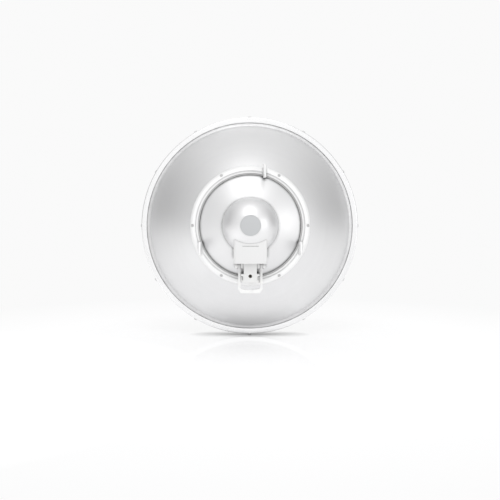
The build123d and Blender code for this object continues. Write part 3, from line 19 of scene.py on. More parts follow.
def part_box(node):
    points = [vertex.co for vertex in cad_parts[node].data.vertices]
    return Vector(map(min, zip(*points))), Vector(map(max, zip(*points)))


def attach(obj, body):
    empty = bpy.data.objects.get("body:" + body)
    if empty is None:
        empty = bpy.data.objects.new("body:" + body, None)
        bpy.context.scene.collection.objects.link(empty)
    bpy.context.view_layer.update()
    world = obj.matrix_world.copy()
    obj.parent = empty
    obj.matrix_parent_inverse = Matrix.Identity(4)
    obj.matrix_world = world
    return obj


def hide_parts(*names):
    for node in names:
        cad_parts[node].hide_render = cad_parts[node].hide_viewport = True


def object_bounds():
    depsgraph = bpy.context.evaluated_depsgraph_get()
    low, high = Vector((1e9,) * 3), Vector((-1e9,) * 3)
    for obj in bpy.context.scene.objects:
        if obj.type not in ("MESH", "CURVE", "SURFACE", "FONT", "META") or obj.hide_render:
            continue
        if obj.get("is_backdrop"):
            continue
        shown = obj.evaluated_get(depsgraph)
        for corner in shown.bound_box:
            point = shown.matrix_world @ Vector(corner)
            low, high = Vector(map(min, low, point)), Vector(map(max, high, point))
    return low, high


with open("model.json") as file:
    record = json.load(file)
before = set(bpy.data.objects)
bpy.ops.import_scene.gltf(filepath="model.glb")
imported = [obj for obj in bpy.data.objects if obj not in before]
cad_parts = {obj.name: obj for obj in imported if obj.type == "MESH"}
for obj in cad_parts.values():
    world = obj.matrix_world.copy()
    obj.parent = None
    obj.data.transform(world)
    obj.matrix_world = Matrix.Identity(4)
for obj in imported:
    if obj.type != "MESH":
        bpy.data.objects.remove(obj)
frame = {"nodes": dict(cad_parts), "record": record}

LOG = logging.getLogger("bridge")
ROOT_BODY = "antenna"
MM = 0.001
LATHE_STEPS = 240
SMOOTH_ANGLE = radians(32)
FLAT_ANGLE = radians(0.5)
WELD = 1e-6
NEAR = 0.1 * MM
TRIM_GAP = 1.2 * MM
FORM_STEPS = 160
SMUDGE_SHARE = 0.6
PATTERN_SHARE = 0.4
MIN_ROUGHNESS = 0.02
STREAK_STRETCH = (22.0, 22.0, 2.2)
HOOKS = (
    ("hook_top", 40.0 * MM, 145.5 * MM),
    ("hook_left", -138.7 * MM, -67.0 * MM),
    ("hook_right", 138.7 * MM, -67.0 * MM),
)

Piece = bpy.types.Object
Point2 = tuple[float, float]
Colour = tuple[float, float, float]


# --- workbench: what a modeller does by hand ------------------------------------------------
class Pick(Enum):
    """What edit mode selects."""

    VERTEX = "VERT"
    EDGE = "EDGE"
    FACE = "FACE"


class Across(Enum):
    """Axis that a flat plate is extruded along."""

    X = 0
    Y = 1
    Z = 2


def release() -> None:
    """Leave edit mode and deselect everything."""
    if bpy.context.object and bpy.context.object.mode != "OBJECT":
        bpy.ops.object.mode_set(mode="OBJECT")
    bpy.ops.object.select_all(action="DESELECT")


def hold(*pieces: Piece) -> None:
    """Select only these pieces and make the first one active."""
    release()
    for piece in pieces:
        piece.select_set(True)
    bpy.context.view_layer.objects.active = pieces[0]


@contextmanager
def editing(piece: Piece, pick: Pick = Pick.FACE) -> Iterator[None]:
    """Hold a piece in edit mode.

    Args:
        piece: The piece to edit.
        pick: What is selected while editing.
    """
    hold(piece)
    bpy.ops.object.mode_set(mode="EDIT")
    bpy.ops.mesh.select_mode(type=pick.value)
    yield
    bpy.ops.object.mode_set(mode="OBJECT")


def select(piece: Piece, test: Callable[[Vector, Vector], bool], pick: Pick = Pick.FACE) -> int:
    """Select parts of the mesh in edit mode by their place and normal.

    Args:
        piece: The piece in edit mode.
        test: Takes a part's centre and its normal, and says whether it is selected.
        pick: Which parts are tested.

    Returns:
        How many parts were selected.
    """
    mesh = bmesh.from_edit_mesh(piece.data)
    bpy.ops.mesh.select_all(action="DESELECT")
    if pick is Pick.FACE:
        chosen = [f for f in mesh.faces if test(f.calc_center_median(), f.normal)]
    elif pick is Pick.EDGE:
        chosen = [e for e in mesh.edges if test((e.verts[0].co + e.verts[1].co) / 2, e.verts[0].normal)]
    else:
        chosen = [v for v in mesh.verts if test(v.co, v.normal)]
    for part in chosen:
        part.select_set(True)
    mesh.select_flush_mode()
    bmesh.update_edit_mesh(piece.data)
    return len(chosen)


def close_up() -> None:
    """Merge doubled points and turn every face outwards, in edit mode."""
    bpy.ops.mesh.select_all(action="SELECT")
    bpy.ops.mesh.remove_doubles(threshold=WELD)
    bpy.ops.mesh.normals_make_consistent(inside=False)


def named(piece: Piece, name: str) -> Piece:
    """Name a piece and its mesh."""
    piece.name = name
    piece.data.name = name
    return piece


def start_point(name: str, place: Vector) -> Piece:
    """Add a plane and merge it to one point, from which an outline is drawn.

    Args:
        name: Name of the new piece.
        place: Where the point lies.

    Returns:
        The new piece.
    """
    release()
    bpy.ops.mesh.primitive_plane_add(size=MM, location=place)
    piece = named(bpy.context.object, name)
    with editing(piece, Pick.VERTEX):
        bpy.ops.mesh.select_all(action="SELECT")
        bpy.ops.mesh.merge(type="CENTER")
    settle(piece)
    return piece


def settle(piece: Piece) -> None:
    """Write the piece's place, turn and scale into its mesh."""
    hold(piece)
    bpy.ops.object.transform_apply(location=True, rotation=True, scale=True)


def draw(points: Sequence[Vector]) -> None:
    """Draw on from the selected point, in edit mode.

    Args:
        points: The outline, whose first point is already there.
    """
    for last, point in zip(points, points[1:]):
        bpy.ops.mesh.extrude_vertices_move(TRANSFORM_OT_translate={"value": point - last})


def lathe(name: str, profile: Sequence[Point2], steps: int = LATHE_STEPS) -> Piece:
    """Spin an outline about the dish axis into a closed solid.

    Args:
        name: Name of the new piece.
        profile: Radius and depth of each point. It starts and ends on the axis, or it is closed.
        steps: Facets in a full turn.

    Returns:
        The new piece.
    """
    points = [Vector((radius, depth, 0.0)) for radius, depth in profile]
    on_axis = profile[0][0] == 0.0 and profile[-1][0] == 0.0
    piece = start_point(name, points[0])
    with editing(piece, Pick.VERTEX):
        bpy.ops.mesh.select_all(action="SELECT")
        draw(points)
        if not on_axis:
            ends = (points[0], points[-1])
            select(piece, lambda place, _: any((place - end).length < WELD for end in ends), Pick.VERTEX)
            bpy.ops.mesh.edge_face_add()
        bpy.ops.mesh.select_all(action="SELECT")
        bpy.ops.mesh.spin(steps=steps, dupli=False, angle=2 * pi, center=(0, 0, 0), axis=(0, 1, 0))
        close_up()
    return piece


def plate(name: str, outline: Sequence[Point2], across: Across, low: float, high: float) -> Piece:
    """Fill an outline and extrude it into a plate.

    Args:
        name: Name of the new piece.
        outline: Points in the plane of the two other axes, in X, Y, Z order.
        across: Axis of the extrusion.
        low: Where the plate starts on that axis.
        high: Where it ends.

    Returns:
        The new piece.
    """
    points = []
    for first, second in outline:
        place = [first, second]
        place.insert(across.value, low)
        points.append(Vector(place))
    step = Vector((0.0, 0.0, 0.0))
    step[across.value] = high - low
    piece = start_point(name, points[0])
    with editing(piece, Pick.VERTEX):
        bpy.ops.mesh.select_all(action="SELECT")
        draw(points)
        bpy.ops.mesh.select_all(action="SELECT")
        bpy.ops.mesh.edge_face_add()
        bpy.ops.mesh.extrude_region_move(TRANSFORM_OT_translate={"value": step})
        close_up()
    return piece


def rod(name: str, radius: float, low: Vector, high: Vector, sides: int = 40) -> Piece:
    """Add a round or many-sided rod between two points.

    Args:
        name: Name of the new piece.
        radius: Radius to its corners.
        low: Centre of one end.
        high: Centre of the other.
        sides: Number of sides.

    Returns:
        The new piece.
    """
    release()
    along = high - low
    bpy.ops.mesh.primitive_cylinder_add(
        vertices=sides,
        radius=radius,
        depth=along.length,
        location=(low + high) / 2,
        rotation=along.to_track_quat("Z", "Y").to_euler(),
    )
    piece = named(bpy.context.object, name)
    settle(piece)
    return piece


def block(name: str, low: Vector, high: Vector) -> Piece:
    """Add a box between two corners."""
    release()
    bpy.ops.mesh.primitive_cube_add(size=1.0, location=(low + high) / 2, scale=high - low)
    piece = named(bpy.context.object, name)
    settle(piece)
    return piece


def combine(piece: Piece, other: Piece, operation: str = "DIFFERENCE", keep_other: bool = False) -> Piece:
    """Cut one piece with another, or weld them.

    Args:
        piece: The piece that stays.
        other: The cutter, or the piece welded on.
        operation: DIFFERENCE, UNION or INTERSECT.
        keep_other: Whether the cutter is used again.

    Returns:
        The piece that stays.
    """
    modifier = piece.modifiers.new("combine", "BOOLEAN")
    modifier.operation = operation
    modifier.solver = "EXACT"
    modifier.object = other
    hold(piece)
    bpy.ops.object.modifier_apply(modifier=modifier.name)
    if not keep_other:
        bpy.data.objects.remove(other)
    return piece


def drill(piece: Piece, radius: float, low: Vector, high: Vector, sides: int = 40) -> None:
    """Cut a round hole, or one with a few flat sides, between two points."""
    combine(piece, rod("drill", radius, low, high, sides))


def soften(piece: Piece, width: float, segments: int = 3, angle: float = 30.0) -> Piece:
    """Round the sharp edges and smooth the shading.

    Args:
        piece: The piece to finish.
        width: Width of the rounding.
        segments: Facets across it.
        angle: Edges sharper than this, in degrees, are rounded.

    Returns:
        The same piece.
    """
    with editing(piece, Pick.VERTEX):
        close_up()
        bpy.ops.mesh.dissolve_limited(angle_limit=FLAT_ANGLE)
    modifier = piece.modifiers.new("soften", "BEVEL")
    modifier.width = width
    modifier.segments = segments
    modifier.limit_method = "ANGLE"
    modifier.angle_limit = radians(angle)
    hold(piece)
    bpy.ops.object.modifier_apply(modifier=modifier.name)
    bpy.ops.object.shade_smooth_by_angle(angle=SMOOTH_ANGLE)
    return piece


def copy_of(piece: Piece, turn: Matrix) -> Piece:
    """Copy a piece with its own mesh, moved by a matrix."""
    twin = piece.copy()
    twin.data = piece.data.copy()
    bpy.context.scene.collection.objects.link(twin)
    twin.data.transform(turn)
    return twin


def join(name: str, pieces: Sequence[Piece]) -> Piece:
    """Join pieces into one."""
    hold(*pieces)
    bpy.ops.object.join()
    return named(pieces[0], name)


def arc(centre: Point2, radius: float, start: float, end: float, count: int) -> list[Point2]:
    """Points along an arc, with angles in degrees from the first axis."""
    turns = [radians(start + (end - start) * index / count) for index in range(count + 1)]
    return [(centre[0] + radius * cos(turn), centre[1] + radius * sin(turn)) for turn in turns]


def turned(angle: float) -> Matrix:
    """Rotation about the dish axis that takes +X towards +Z, in degrees."""
    return Matrix.Rotation(-radians(angle), 4, "Y")


def ring_of(name: str, piece: Piece, count: int) -> Piece:
    """Join even copies of a piece round the dish axis and drop the piece itself."""
    ring = join(name, [copy_of(piece, turned(index * 360 / count)) for index in range(count)])
    bpy.data.objects.remove(piece)
    return ring


# --- shader node groups ---------------------------------------------------------------------
class Tree:
    """A node tree with short ways to add and wire nodes."""

    def __init__(self, tree: bpy.types.NodeTree) -> None:
        """Wrap a node tree."""
        self.tree = tree

    def add(self, kind: str, settings: dict | None = None, **inputs: object) -> bpy.types.Node:
        """Add a node.

        Args:
            kind: Blender's node type, without the ShaderNode prefix.
            settings: Properties set on the node.
            inputs: Values or source sockets, by input name with _ for a space, or in1, in2 by place.

        Returns:
            The new node.
        """
        node = self.tree.nodes.new("ShaderNode" + kind)
        for key, value in (settings or {}).items():
            setattr(node, key, value)
        for key, value in inputs.items():
            place = int(key[2:]) if key[:2] == "in" and key[2:].isdigit() else key.replace("_", " ")
            self.feed(node.inputs[place], value)
        return node

    def feed(self, socket: bpy.types.NodeSocket, value: object) -> None:
        """Set a socket to a constant, or link a source socket to it."""
        if isinstance(value, bpy.types.NodeSocket):
            self.tree.links.new(value, socket)
        else:
            socket.default_value = value

    def math(self, operation: str, first: object, second: object = 0.0) -> bpy.types.NodeSocket:
        """Add a Math node and return its result."""
        return self.add("Math", {"operation": operation}, in0=first, in1=second).outputs[0]

    def remap(
        self, value: object, low: object, high: object, to_low: object, to_high: object
    ) -> bpy.types.NodeSocket:
        """Add a clamped Map Range node and return its result."""
        return self.add("MapRange", None, in0=value, in1=low, in2=high, in3=to_low, in4=to_high).outputs[0]

    def blend(self, factor: object, first: object, second: object) -> bpy.types.NodeSocket:
        """Mix two colours and return the result."""
        node = self.add("Mix", {"data_type": "RGBA"})
        self.feed(node.inputs[0], factor)
        self.feed(node.inputs[6], first)
        self.feed(node.inputs[7], second)
        return node.outputs[2]


class Effect(Enum):
    """Surface effects that several finishes share."""

    SKIN = "paint_skin"
    LATHED = "lathed_lines"
    SMUDGE = "handling_smudge"
    GRIME = "crevice_grime"
    FLAKE = "metal_flake"


def new_group(
    effect: Effect, inputs: dict[str, float | str], outputs: Sequence[str]
) -> tuple[Tree, dict, dict]:
    """Start a shader node group.

    Args:
        effect: Which effect the group makes.
        inputs: Input names with their default, or "vector" or "colour" for those kinds.
        outputs: Output names; those that end in Colour are colours.

    Returns:
        The tree, its input sockets by name and its output sockets by name.
    """
    group = bpy.data.node_groups.new(effect.value, "ShaderNodeTree")
    kinds = {"vector": "NodeSocketVector", "colour": "NodeSocketColor"}
    for name, default in inputs.items():
        kind = kinds.get(default, "NodeSocketFloat")
        made = group.interface.new_socket(name, in_out="INPUT", socket_type=kind)
        if not isinstance(default, str):
            made.default_value = default
    for name in outputs:
        kind = "NodeSocketColor" if name.endswith("Colour") else "NodeSocketFloat"
        group.interface.new_socket(name, in_out="OUTPUT", socket_type=kind)
    tree = Tree(group)
    ins = group.nodes.new("NodeGroupInput").outputs
    outs = group.nodes.new("NodeGroupOutput").inputs
    return tree, {name: ins[name] for name in inputs}, {name: outs[name] for name in outputs}


def build_skin() -> None:
    """Fine unevenness of paint or moulded plastic, as a height."""
    inputs = {"Place": "vector", "Scale": 900.0, "Coarse": 0.3, "Coarse Scale": 0.06}
    tree, ins, outs = new_group(Effect.SKIN, inputs, ["Height"])
    fine = tree.add("TexNoise", None, Vector=ins["Place"], Scale=ins["Scale"], Detail=2.0).outputs[0]
    wide_scale = tree.math("MULTIPLY", ins["Scale"], ins["Coarse Scale"])
    wide = tree.add("TexNoise", None, Vector=ins["Place"], Scale=wide_scale, Detail=1.0).outputs[0]
    tree.feed(outs["Height"], tree.math("ADD", fine, tree.math("MULTIPLY", wide, ins["Coarse"])))


def build_lathed() -> None:
    """Fine rings that a spinning tool leaves about the dish axis, as a height and a mask."""
    inputs = {"Place": "vector", "Pitch": 1400.0, "Ring Share": 0.5, "Band Share": 0.5, "Band Scale": 0.035}
    tree, ins, outs = new_group(Effect.LATHED, inputs, ["Height", "Mask"])
    split = tree.add("SeparateXYZ", None, in0=ins["Place"]).outputs
    flat = tree.add("CombineXYZ", None, X=split[0], Z=split[2]).outputs[0]
    radius = tree.add("VectorMath", {"operation": "LENGTH"}, in0=flat).outputs[1]
    travel = tree.math("MULTIPLY", tree.math("ADD", radius, split[1]), ins["Pitch"])
    rings = tree.add("TexNoise", {"noise_dimensions": "1D"}, W=travel, Scale=1.0, Detail=3.0).outputs[0]
    slow = tree.math("MULTIPLY", travel, ins["Band Scale"])
    bands = tree.add("TexNoise", {"noise_dimensions": "1D"}, W=slow, Scale=1.0, Detail=1.0).outputs[0]
    tree.feed(outs["Height"], rings)
    fine = tree.math("MULTIPLY", rings, ins["Ring Share"])
    tree.feed(outs["Mask"], tree.math("ADD", fine, tree.math("MULTIPLY", bands, ins["Band Share"])))


def build_smudge() -> None:
    """Soft marks of handling and weather, as a mask about one half."""
    inputs = {"Place": "vector", "Scale": 7.0, "Streak Scale": 1.6, "Cloud Share": 0.7, "Streak Share": 0.3}
    inputs |= {"Low": 0.3, "High": 0.7}
    tree, ins, outs = new_group(Effect.SMUDGE, inputs, ["Mask"])
    cloud = tree.add("TexNoise", None, Vector=ins["Place"], Scale=ins["Scale"], Detail=5.0, Roughness=0.6)
    long_place = tree.add("Mapping", None, Vector=ins["Place"], Scale=STREAK_STRETCH).outputs[0]
    streaks = tree.add("TexNoise", None, Vector=long_place, Scale=ins["Streak Scale"], Detail=3.0)
    marks = tree.math("MULTIPLY", cloud.outputs[0], ins["Cloud Share"])
    runs = tree.math("MULTIPLY", streaks.outputs[0], ins["Streak Share"])
    tree.feed(outs["Mask"], tree.remap(tree.math("ADD", marks, runs), ins["Low"], ins["High"], 0.0, 1.0))


def build_crevice_shade_and_dust() -> None:
    """Painted shade that darkens corners, gaps and the undersides of lips, broken into patches like grime,
    laid over a colour.
    """
    inputs = {"Clean": "colour", "Shade And Dust": "colour", "Amount": 0.3, "Reach": 0.006, "Place": "vector"}
    inputs |= {"Deep": 0.5, "Patch Scale": 60.0, "Patch Floor": 0.4}
    tree, ins, outs = new_group(Effect.GRIME, inputs, ["Colour"])
    # Painted shade: ambient occlusion finds the corners and gaps where shade falls. The cover mask is one
    # there and nothing in the open.
    hidden = tree.add("AmbientOcclusion", {"samples": 6, "only_local": False}, Distance=ins["Reach"])
    cover = tree.remap(hidden.outputs["AO"], ins["Deep"], 1.0, 1.0, 0.0)
    patches = tree.add("TexNoise", None, Vector=ins["Place"], Scale=ins["Patch Scale"], Detail=4.0).outputs[0]
    patchy = tree.math("ADD", patches, ins["Patch Floor"])
    share = tree.math("MULTIPLY", tree.math("MULTIPLY", cover, patchy), ins["Amount"])
    tree.feed(outs["Colour"], tree.blend(share, ins["Clean"], ins["Shade And Dust"]))


def build_flake() -> None:
    """Metal flake in a paint or plastic, as a mask of tiny bright cells."""
    tree, ins, outs = new_group(Effect.FLAKE, {"Place": "vector", "Scale": 2600.0}, ["Mask"])
    cells = tree.add("TexVoronoi", None, Vector=ins["Place"], Scale=ins["Scale"])
    tint = tree.add("SeparateColor", None, in0=cells.outputs["Color"]).outputs[0]
    tree.feed(outs["Mask"], tint)


BUILDERS = {
    Effect.SKIN: build_skin,
    Effect.LATHED: build_lathed,
    Effect.SMUDGE: build_smudge,
    Effect.GRIME: build_crevice_shade_and_dust,
    Effect.FLAKE: build_flake,
}


# --- finishes -------------------------------------------------------------------------------
@dataclass(frozen=True)
class Finish:
    """A surface finish: paint, plastic or metal with its own unevenness and wear, and painted shade with some
    grime in its corners.

    Attributes:
        name: Name of the material.
        colour: Base colour, linear.
        roughness: Mean roughness.
        metallic: How metallic the surface is.
        coat: Weight of the clear coat.
        coat_roughness: Roughness of the clear coat.
        skin: Height of the fine unevenness, in metres.
        skin_scale: Frequency of the unevenness.
        smudge: How far smudges change the roughness.
        tint: How far smudges darken the colour.
        shade_and_dust: How far painted shade, with some grime, darkens the corners.
        shade_and_dust_colour: Colour of the painted shade and grime.
        shade_and_dust_reach: How far from a corner the painted shade spreads, in metres.
    """

    name: str
    colour: Colour
    roughness: float
    metallic: float = 0.0
    coat: float = 0.0
    coat_roughness: float = 0.2
    skin: float = 0.00002
    skin_scale: float = 900.0
    smudge: float = 0.06
    tint: float = 0.03
    shade_and_dust: float = 0.12
    shade_and_dust_colour: Colour = (0.45, 0.44, 0.42)
    shade_and_dust_reach: float = 0.006

    def material(self) -> bpy.types.Material:
        """Return the material, making it the first time."""
        made = bpy.data.materials.get(self.name)
        if made is None:
            made = bpy.data.materials.new(self.name)
            made.use_nodes = True
            made.node_tree.nodes.clear()
            self.wire(Tree(made.node_tree))
        return made

    def effect(self, tree: Tree, effect: Effect, **inputs: object) -> bpy.types.bpy_prop_collection:
        """Place a shared effect in this material and return its outputs."""
        node = tree.tree.nodes.new("ShaderNodeGroup")
        node.node_tree = bpy.data.node_groups[effect.value]
        for name, value in inputs.items():
            tree.feed(node.inputs[name], value)
        return node.outputs

    def wire(self, tree: Tree) -> None:
        """Wire the nodes of the finish."""
        place = tree.add("TexCoord").outputs["Object"]
        smudge = self.effect(tree, Effect.SMUDGE, Place=place)["Mask"]
        skin = self.effect(tree, Effect.SKIN, Place=place, Scale=self.skin_scale)["Height"]
        height, mask = self.pattern(tree, place, skin)
        marks = tree.math("MULTIPLY", smudge, SMUDGE_SHARE)
        shade = tree.math("ADD", marks, tree.math("MULTIPLY", mask, PATTERN_SHARE))
        dark = tuple(channel * (1.0 - 2.0 * self.tint) for channel in self.colour)
        clean = tree.blend(shade, (*dark, 1.0), (*self.colour, 1.0))
        crevice_inputs = {"Shade And Dust": (*self.shade_and_dust_colour, 1.0), "Amount": self.shade_and_dust, "Reach": self.shade_and_dust_reach}
        # Painted shade, with some grime, darkens the colour in corners and gaps.
        colour = self.effect(tree, Effect.GRIME, Clean=clean, Place=place, **crevice_inputs)["Colour"]
        low = max(MIN_ROUGHNESS, self.roughness - self.smudge)
        roughness = tree.remap(shade, 0.0, 1.0, self.roughness + self.smudge, low)
        bump = tree.add("Bump", None, Strength=1.0, Distance=self.skin, Height=height).outputs[0]
        shader = tree.add("BsdfPrincipled", None, Base_Color=colour, Roughness=roughness, Normal=bump)
        shader.inputs["Metallic"].default_value = self.metallic
        shader.inputs["Coat Weight"].default_value = self.coat
        shader.inputs["Coat Roughness"].default_value = self.coat_roughness
        self.special(tree, shader)
        tree.add("OutputMaterial", None, Surface=shader.outputs[0])

    def pattern(self, tree: Tree, place: object, skin: object) -> tuple[object, object]:
        """Return the height and the colour mask of the finish's own pattern."""
        return skin, skin

    def special(self, tree: Tree, shader: bpy.types.Node) -> None:
        """Change the shader further, where a finish needs it."""


@dataclass(frozen=True)
class LathedFinish(Finish):
    """A finish with the fine rings of spinning or turning about the dish axis."""

    pitch: float = 1400.0
    ring_share: float = 0.7

    def pattern(self, tree: Tree, place: object, skin: object) -> tuple[object, object]:
        """Mix the turned rings into the surface."""
        rings = self.effect(tree, Effect.LATHED, Place=place, Pitch=self.pitch)
        height = tree.add("Mix", None, in0=self.ring_share, in2=skin, in3=rings["Height"]).outputs[0]
        return height, rings["Mask"]


@dataclass(frozen=True)
class FlakeFinish(Finish):
    """A finish with metal flake under a clear coat."""

    flake_scale: float = 2600.0

    def pattern(self, tree: Tree, place: object, skin: object) -> tuple[object, object]:
        """Scatter flake through the colour."""
        return skin, self.effect(tree, Effect.FLAKE, Place=place, Scale=self.flake_scale)["Mask"]


@dataclass(frozen=True)
class ClearFinish(Finish):
    """Clear moulded plastic."""

    transmission: float = 0.85
    ior: float = 1.49

    def special(self, tree: Tree, shader: bpy.types.Node) -> None:
        """Let light through."""
        shader.inputs["Transmission Weight"].default_value = self.transmission
        shader.inputs["IOR"].default_value = self.ior


# Its near-black corner colour is painted shade: a dark line on the dish along the mounting ring's foot and in
# the gaps round it.
PEARL_PAINT = LathedFinish(
    "pearl_paint", (0.83, 0.83, 0.835), 0.46, metallic=0.8, coat=0.12, coat_roughness=0.4,
    skin=0.000012, smudge=0.05, tint=0.03, shade_and_dust=1.0, shade_and_dust_colour=(0.12, 0.12, 0.12), shade_and_dust_reach=0.010,
)
BAND_METAL = LathedFinish(
    "band_metal", (0.90, 0.90, 0.905), 0.26, metallic=0.85, skin=0.00001, pitch=2600.0, smudge=0.06,
    shade_and_dust=0.06,
)
RADOME_SKIN = Finish(
    "radome_skin", (0.86, 0.86, 0.835), 0.55, skin=0.00003, skin_scale=520.0, smudge=0.08, tint=0.02,
    shade_and_dust=0.05,
)
# Its dark grey corner colour is painted shade: grey outlines along the mounting ring's edges and the hooks'
# corners.
POWDER_WHITE = Finish(
    "powder_white", (0.93, 0.93, 0.93), 0.32, coat=0.35, coat_roughness=0.15, skin=0.00004,
    skin_scale=700.0, smudge=0.07, tint=0.01, shade_and_dust=0.6, shade_and_dust_colour=(0.26, 0.26, 0.26),
)
HUB_PEARL = FlakeFinish(
    "hub_pearl", (0.87, 0.87, 0.875), 0.46, metallic=0.8, coat=0.15, coat_roughness=0.3, skin=0.00001,
    smudge=0.04, tint=0.03, shade_and_dust=0.15,
)
DISC_GREY = FlakeFinish(
    "disc_grey", (0.56, 0.57, 0.58), 0.42, metallic=0.35, skin=0.00001, smudge=0.04, tint=0.02,
    shade_and_dust=0.05,
)
# Its dark grey corner colour is painted shade in the corners and gaps of the latch and the other white
# mouldings.
MOULDED_WHITE = Finish(
    "moulded_white", (0.92, 0.92, 0.915), 0.34, coat=0.2, coat_roughness=0.2, skin=0.000012,
    skin_scale=1500.0, smudge=0.06, tint=0.01, shade_and_dust=0.7, shade_and_dust_colour=(0.26, 0.26, 0.26),
)
# A darker copy of the moulded white: its lower colour paints the shade on the port cover's back, and its
# near-black corner colour is painted shade in the cover's gaps.
SHADED_COVER_WHITE = Finish(
    "shaded_cover_white", (0.79, 0.79, 0.79), 0.38, coat=0.2, coat_roughness=0.25, skin=0.000012,
    skin_scale=1500.0, smudge=0.06, tint=0.01, shade_and_dust=1.0, shade_and_dust_colour=(0.12, 0.12, 0.12),
)
MOULDED_BLACK = Finish(
    "moulded_black", (0.035, 0.036, 0.04), 0.5, skin=0.00003, skin_scale=1300.0, smudge=0.1, tint=0.05,
    shade_and_dust=0.06,
)
STAINLESS = Finish(
    "stainless", (0.72, 0.72, 0.71), 0.28, metallic=1.0, skin=0.000008, skin_scale=2500.0, smudge=0.1,
    tint=0.05, shade_and_dust=0.35,
)
SEAL_RUBBER = Finish(
    "seal_rubber", (0.022, 0.022, 0.024), 0.7, skin=0.00004, skin_scale=1100.0, smudge=0.1, tint=0.05,
    shade_and_dust=0.1,
)
# Grey of the ring gasket, set to the grey of the shadowed gap between the ring and the dish: painted shade.
GASKET_GAP_SHADE = Finish(
    "gasket_gap_shade", (0.70, 0.70, 0.70), 0.6, skin=0.00004, skin_scale=1100.0, smudge=0.1, tint=0.05,
    shade_and_dust=0.1,
)
# Brass darkened to near black: painted shade inside the latch's lock hole, where the insert sits.
HOLE_SHADE_BRASS = Finish(
    "hole_shade_brass", (0.12, 0.10, 0.07), 0.35, metallic=1.0, skin=0.000008, skin_scale=2500.0,
    smudge=0.1, shade_and_dust=0.3,
)
BOARD_GREEN = Finish("board_green", (0.02, 0.14, 0.06), 0.4, coat=0.4, skin=0.00001, smudge=0.05)
TIN_PLATE = Finish(
    "tin_plate", (0.68, 0.68, 0.66), 0.3, metallic=1.0, skin=0.00001, smudge=0.08, shade_and_dust=0.15,
)
CAST_METAL = Finish(
    "cast_metal", (0.52, 0.52, 0.53), 0.48, metallic=0.9, skin=0.00005, skin_scale=650.0, smudge=0.1,
    tint=0.04,
)
THERMAL_PAD = Finish("thermal_pad", (0.30, 0.34, 0.42), 0.8, skin=0.00003)
LIGHT_PIPE = ClearFinish("light_pipe", (0.85, 0.92, 0.95), 0.1, skin=0.000005, shade_and_dust=0.0)
FEED_WHITE = Finish("feed_white", (0.80, 0.80, 0.77), 0.45, skin=0.00001)
GOLD = Finish("contact_gold", (0.83, 0.62, 0.25), 0.22, metallic=1.0, skin=0.000004, shade_and_dust=0.0)

CAD_FINISHES: dict[str, Finish] = {
    "reflector_paint": PEARL_PAINT,
    "band_aluminium": BAND_METAL,
    "radome_skin": RADOME_SKIN,
    "white_casting": POWDER_WHITE,
    "hub_shell": HUB_PEARL,
    "end_disc_grey": DISC_GREY,
    "white_plastic": MOULDED_WHITE,
    "dark_plastic": MOULDED_BLACK,
    "stainless": STAINLESS,
    "seal_rubber": SEAL_RUBBER,
    "brass_insert": HOLE_SHADE_BRASS,
    "board_green": BOARD_GREEN,
    "tin_shield": TIN_PLATE,
    "cast_aluminium": CAST_METAL,
    "pad_grey": THERMAL_PAD,
    "light_pipe": LIGHT_PIPE,
    "feed_plastic": FEED_WHITE,
}

# The ring gasket's grey is painted shade for the gap between the ring and the dish.
NODE_FINISHES: dict[str, Finish] = {"ring_gasket": GASKET_GAP_SHADE}


def paint(piece: Piece, finish: Finish) -> None:
    """Give a piece one finish all over."""
    piece.data.materials.clear()
    piece.data.materials.append(finish.material())


def install(
    piece: Piece, finish: Finish, nodes: Sequence[str] = (), body: str = ROOT_BODY
) -> Piece:
    """Finish a piece and put it on its body.

    Args:
        piece: The finished mesh.
        finish: Its finish.
        nodes: CAD nodes that it stands for.
        body: Body that it moves with.

    Returns:
        The same piece.
    """
    paint(piece, finish)
    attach(piece, body)
    if nodes:
        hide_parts(*nodes)
    LOG.info("%s: %d faces on %s", piece.name, len(piece.data.polygons), body)
    return piece


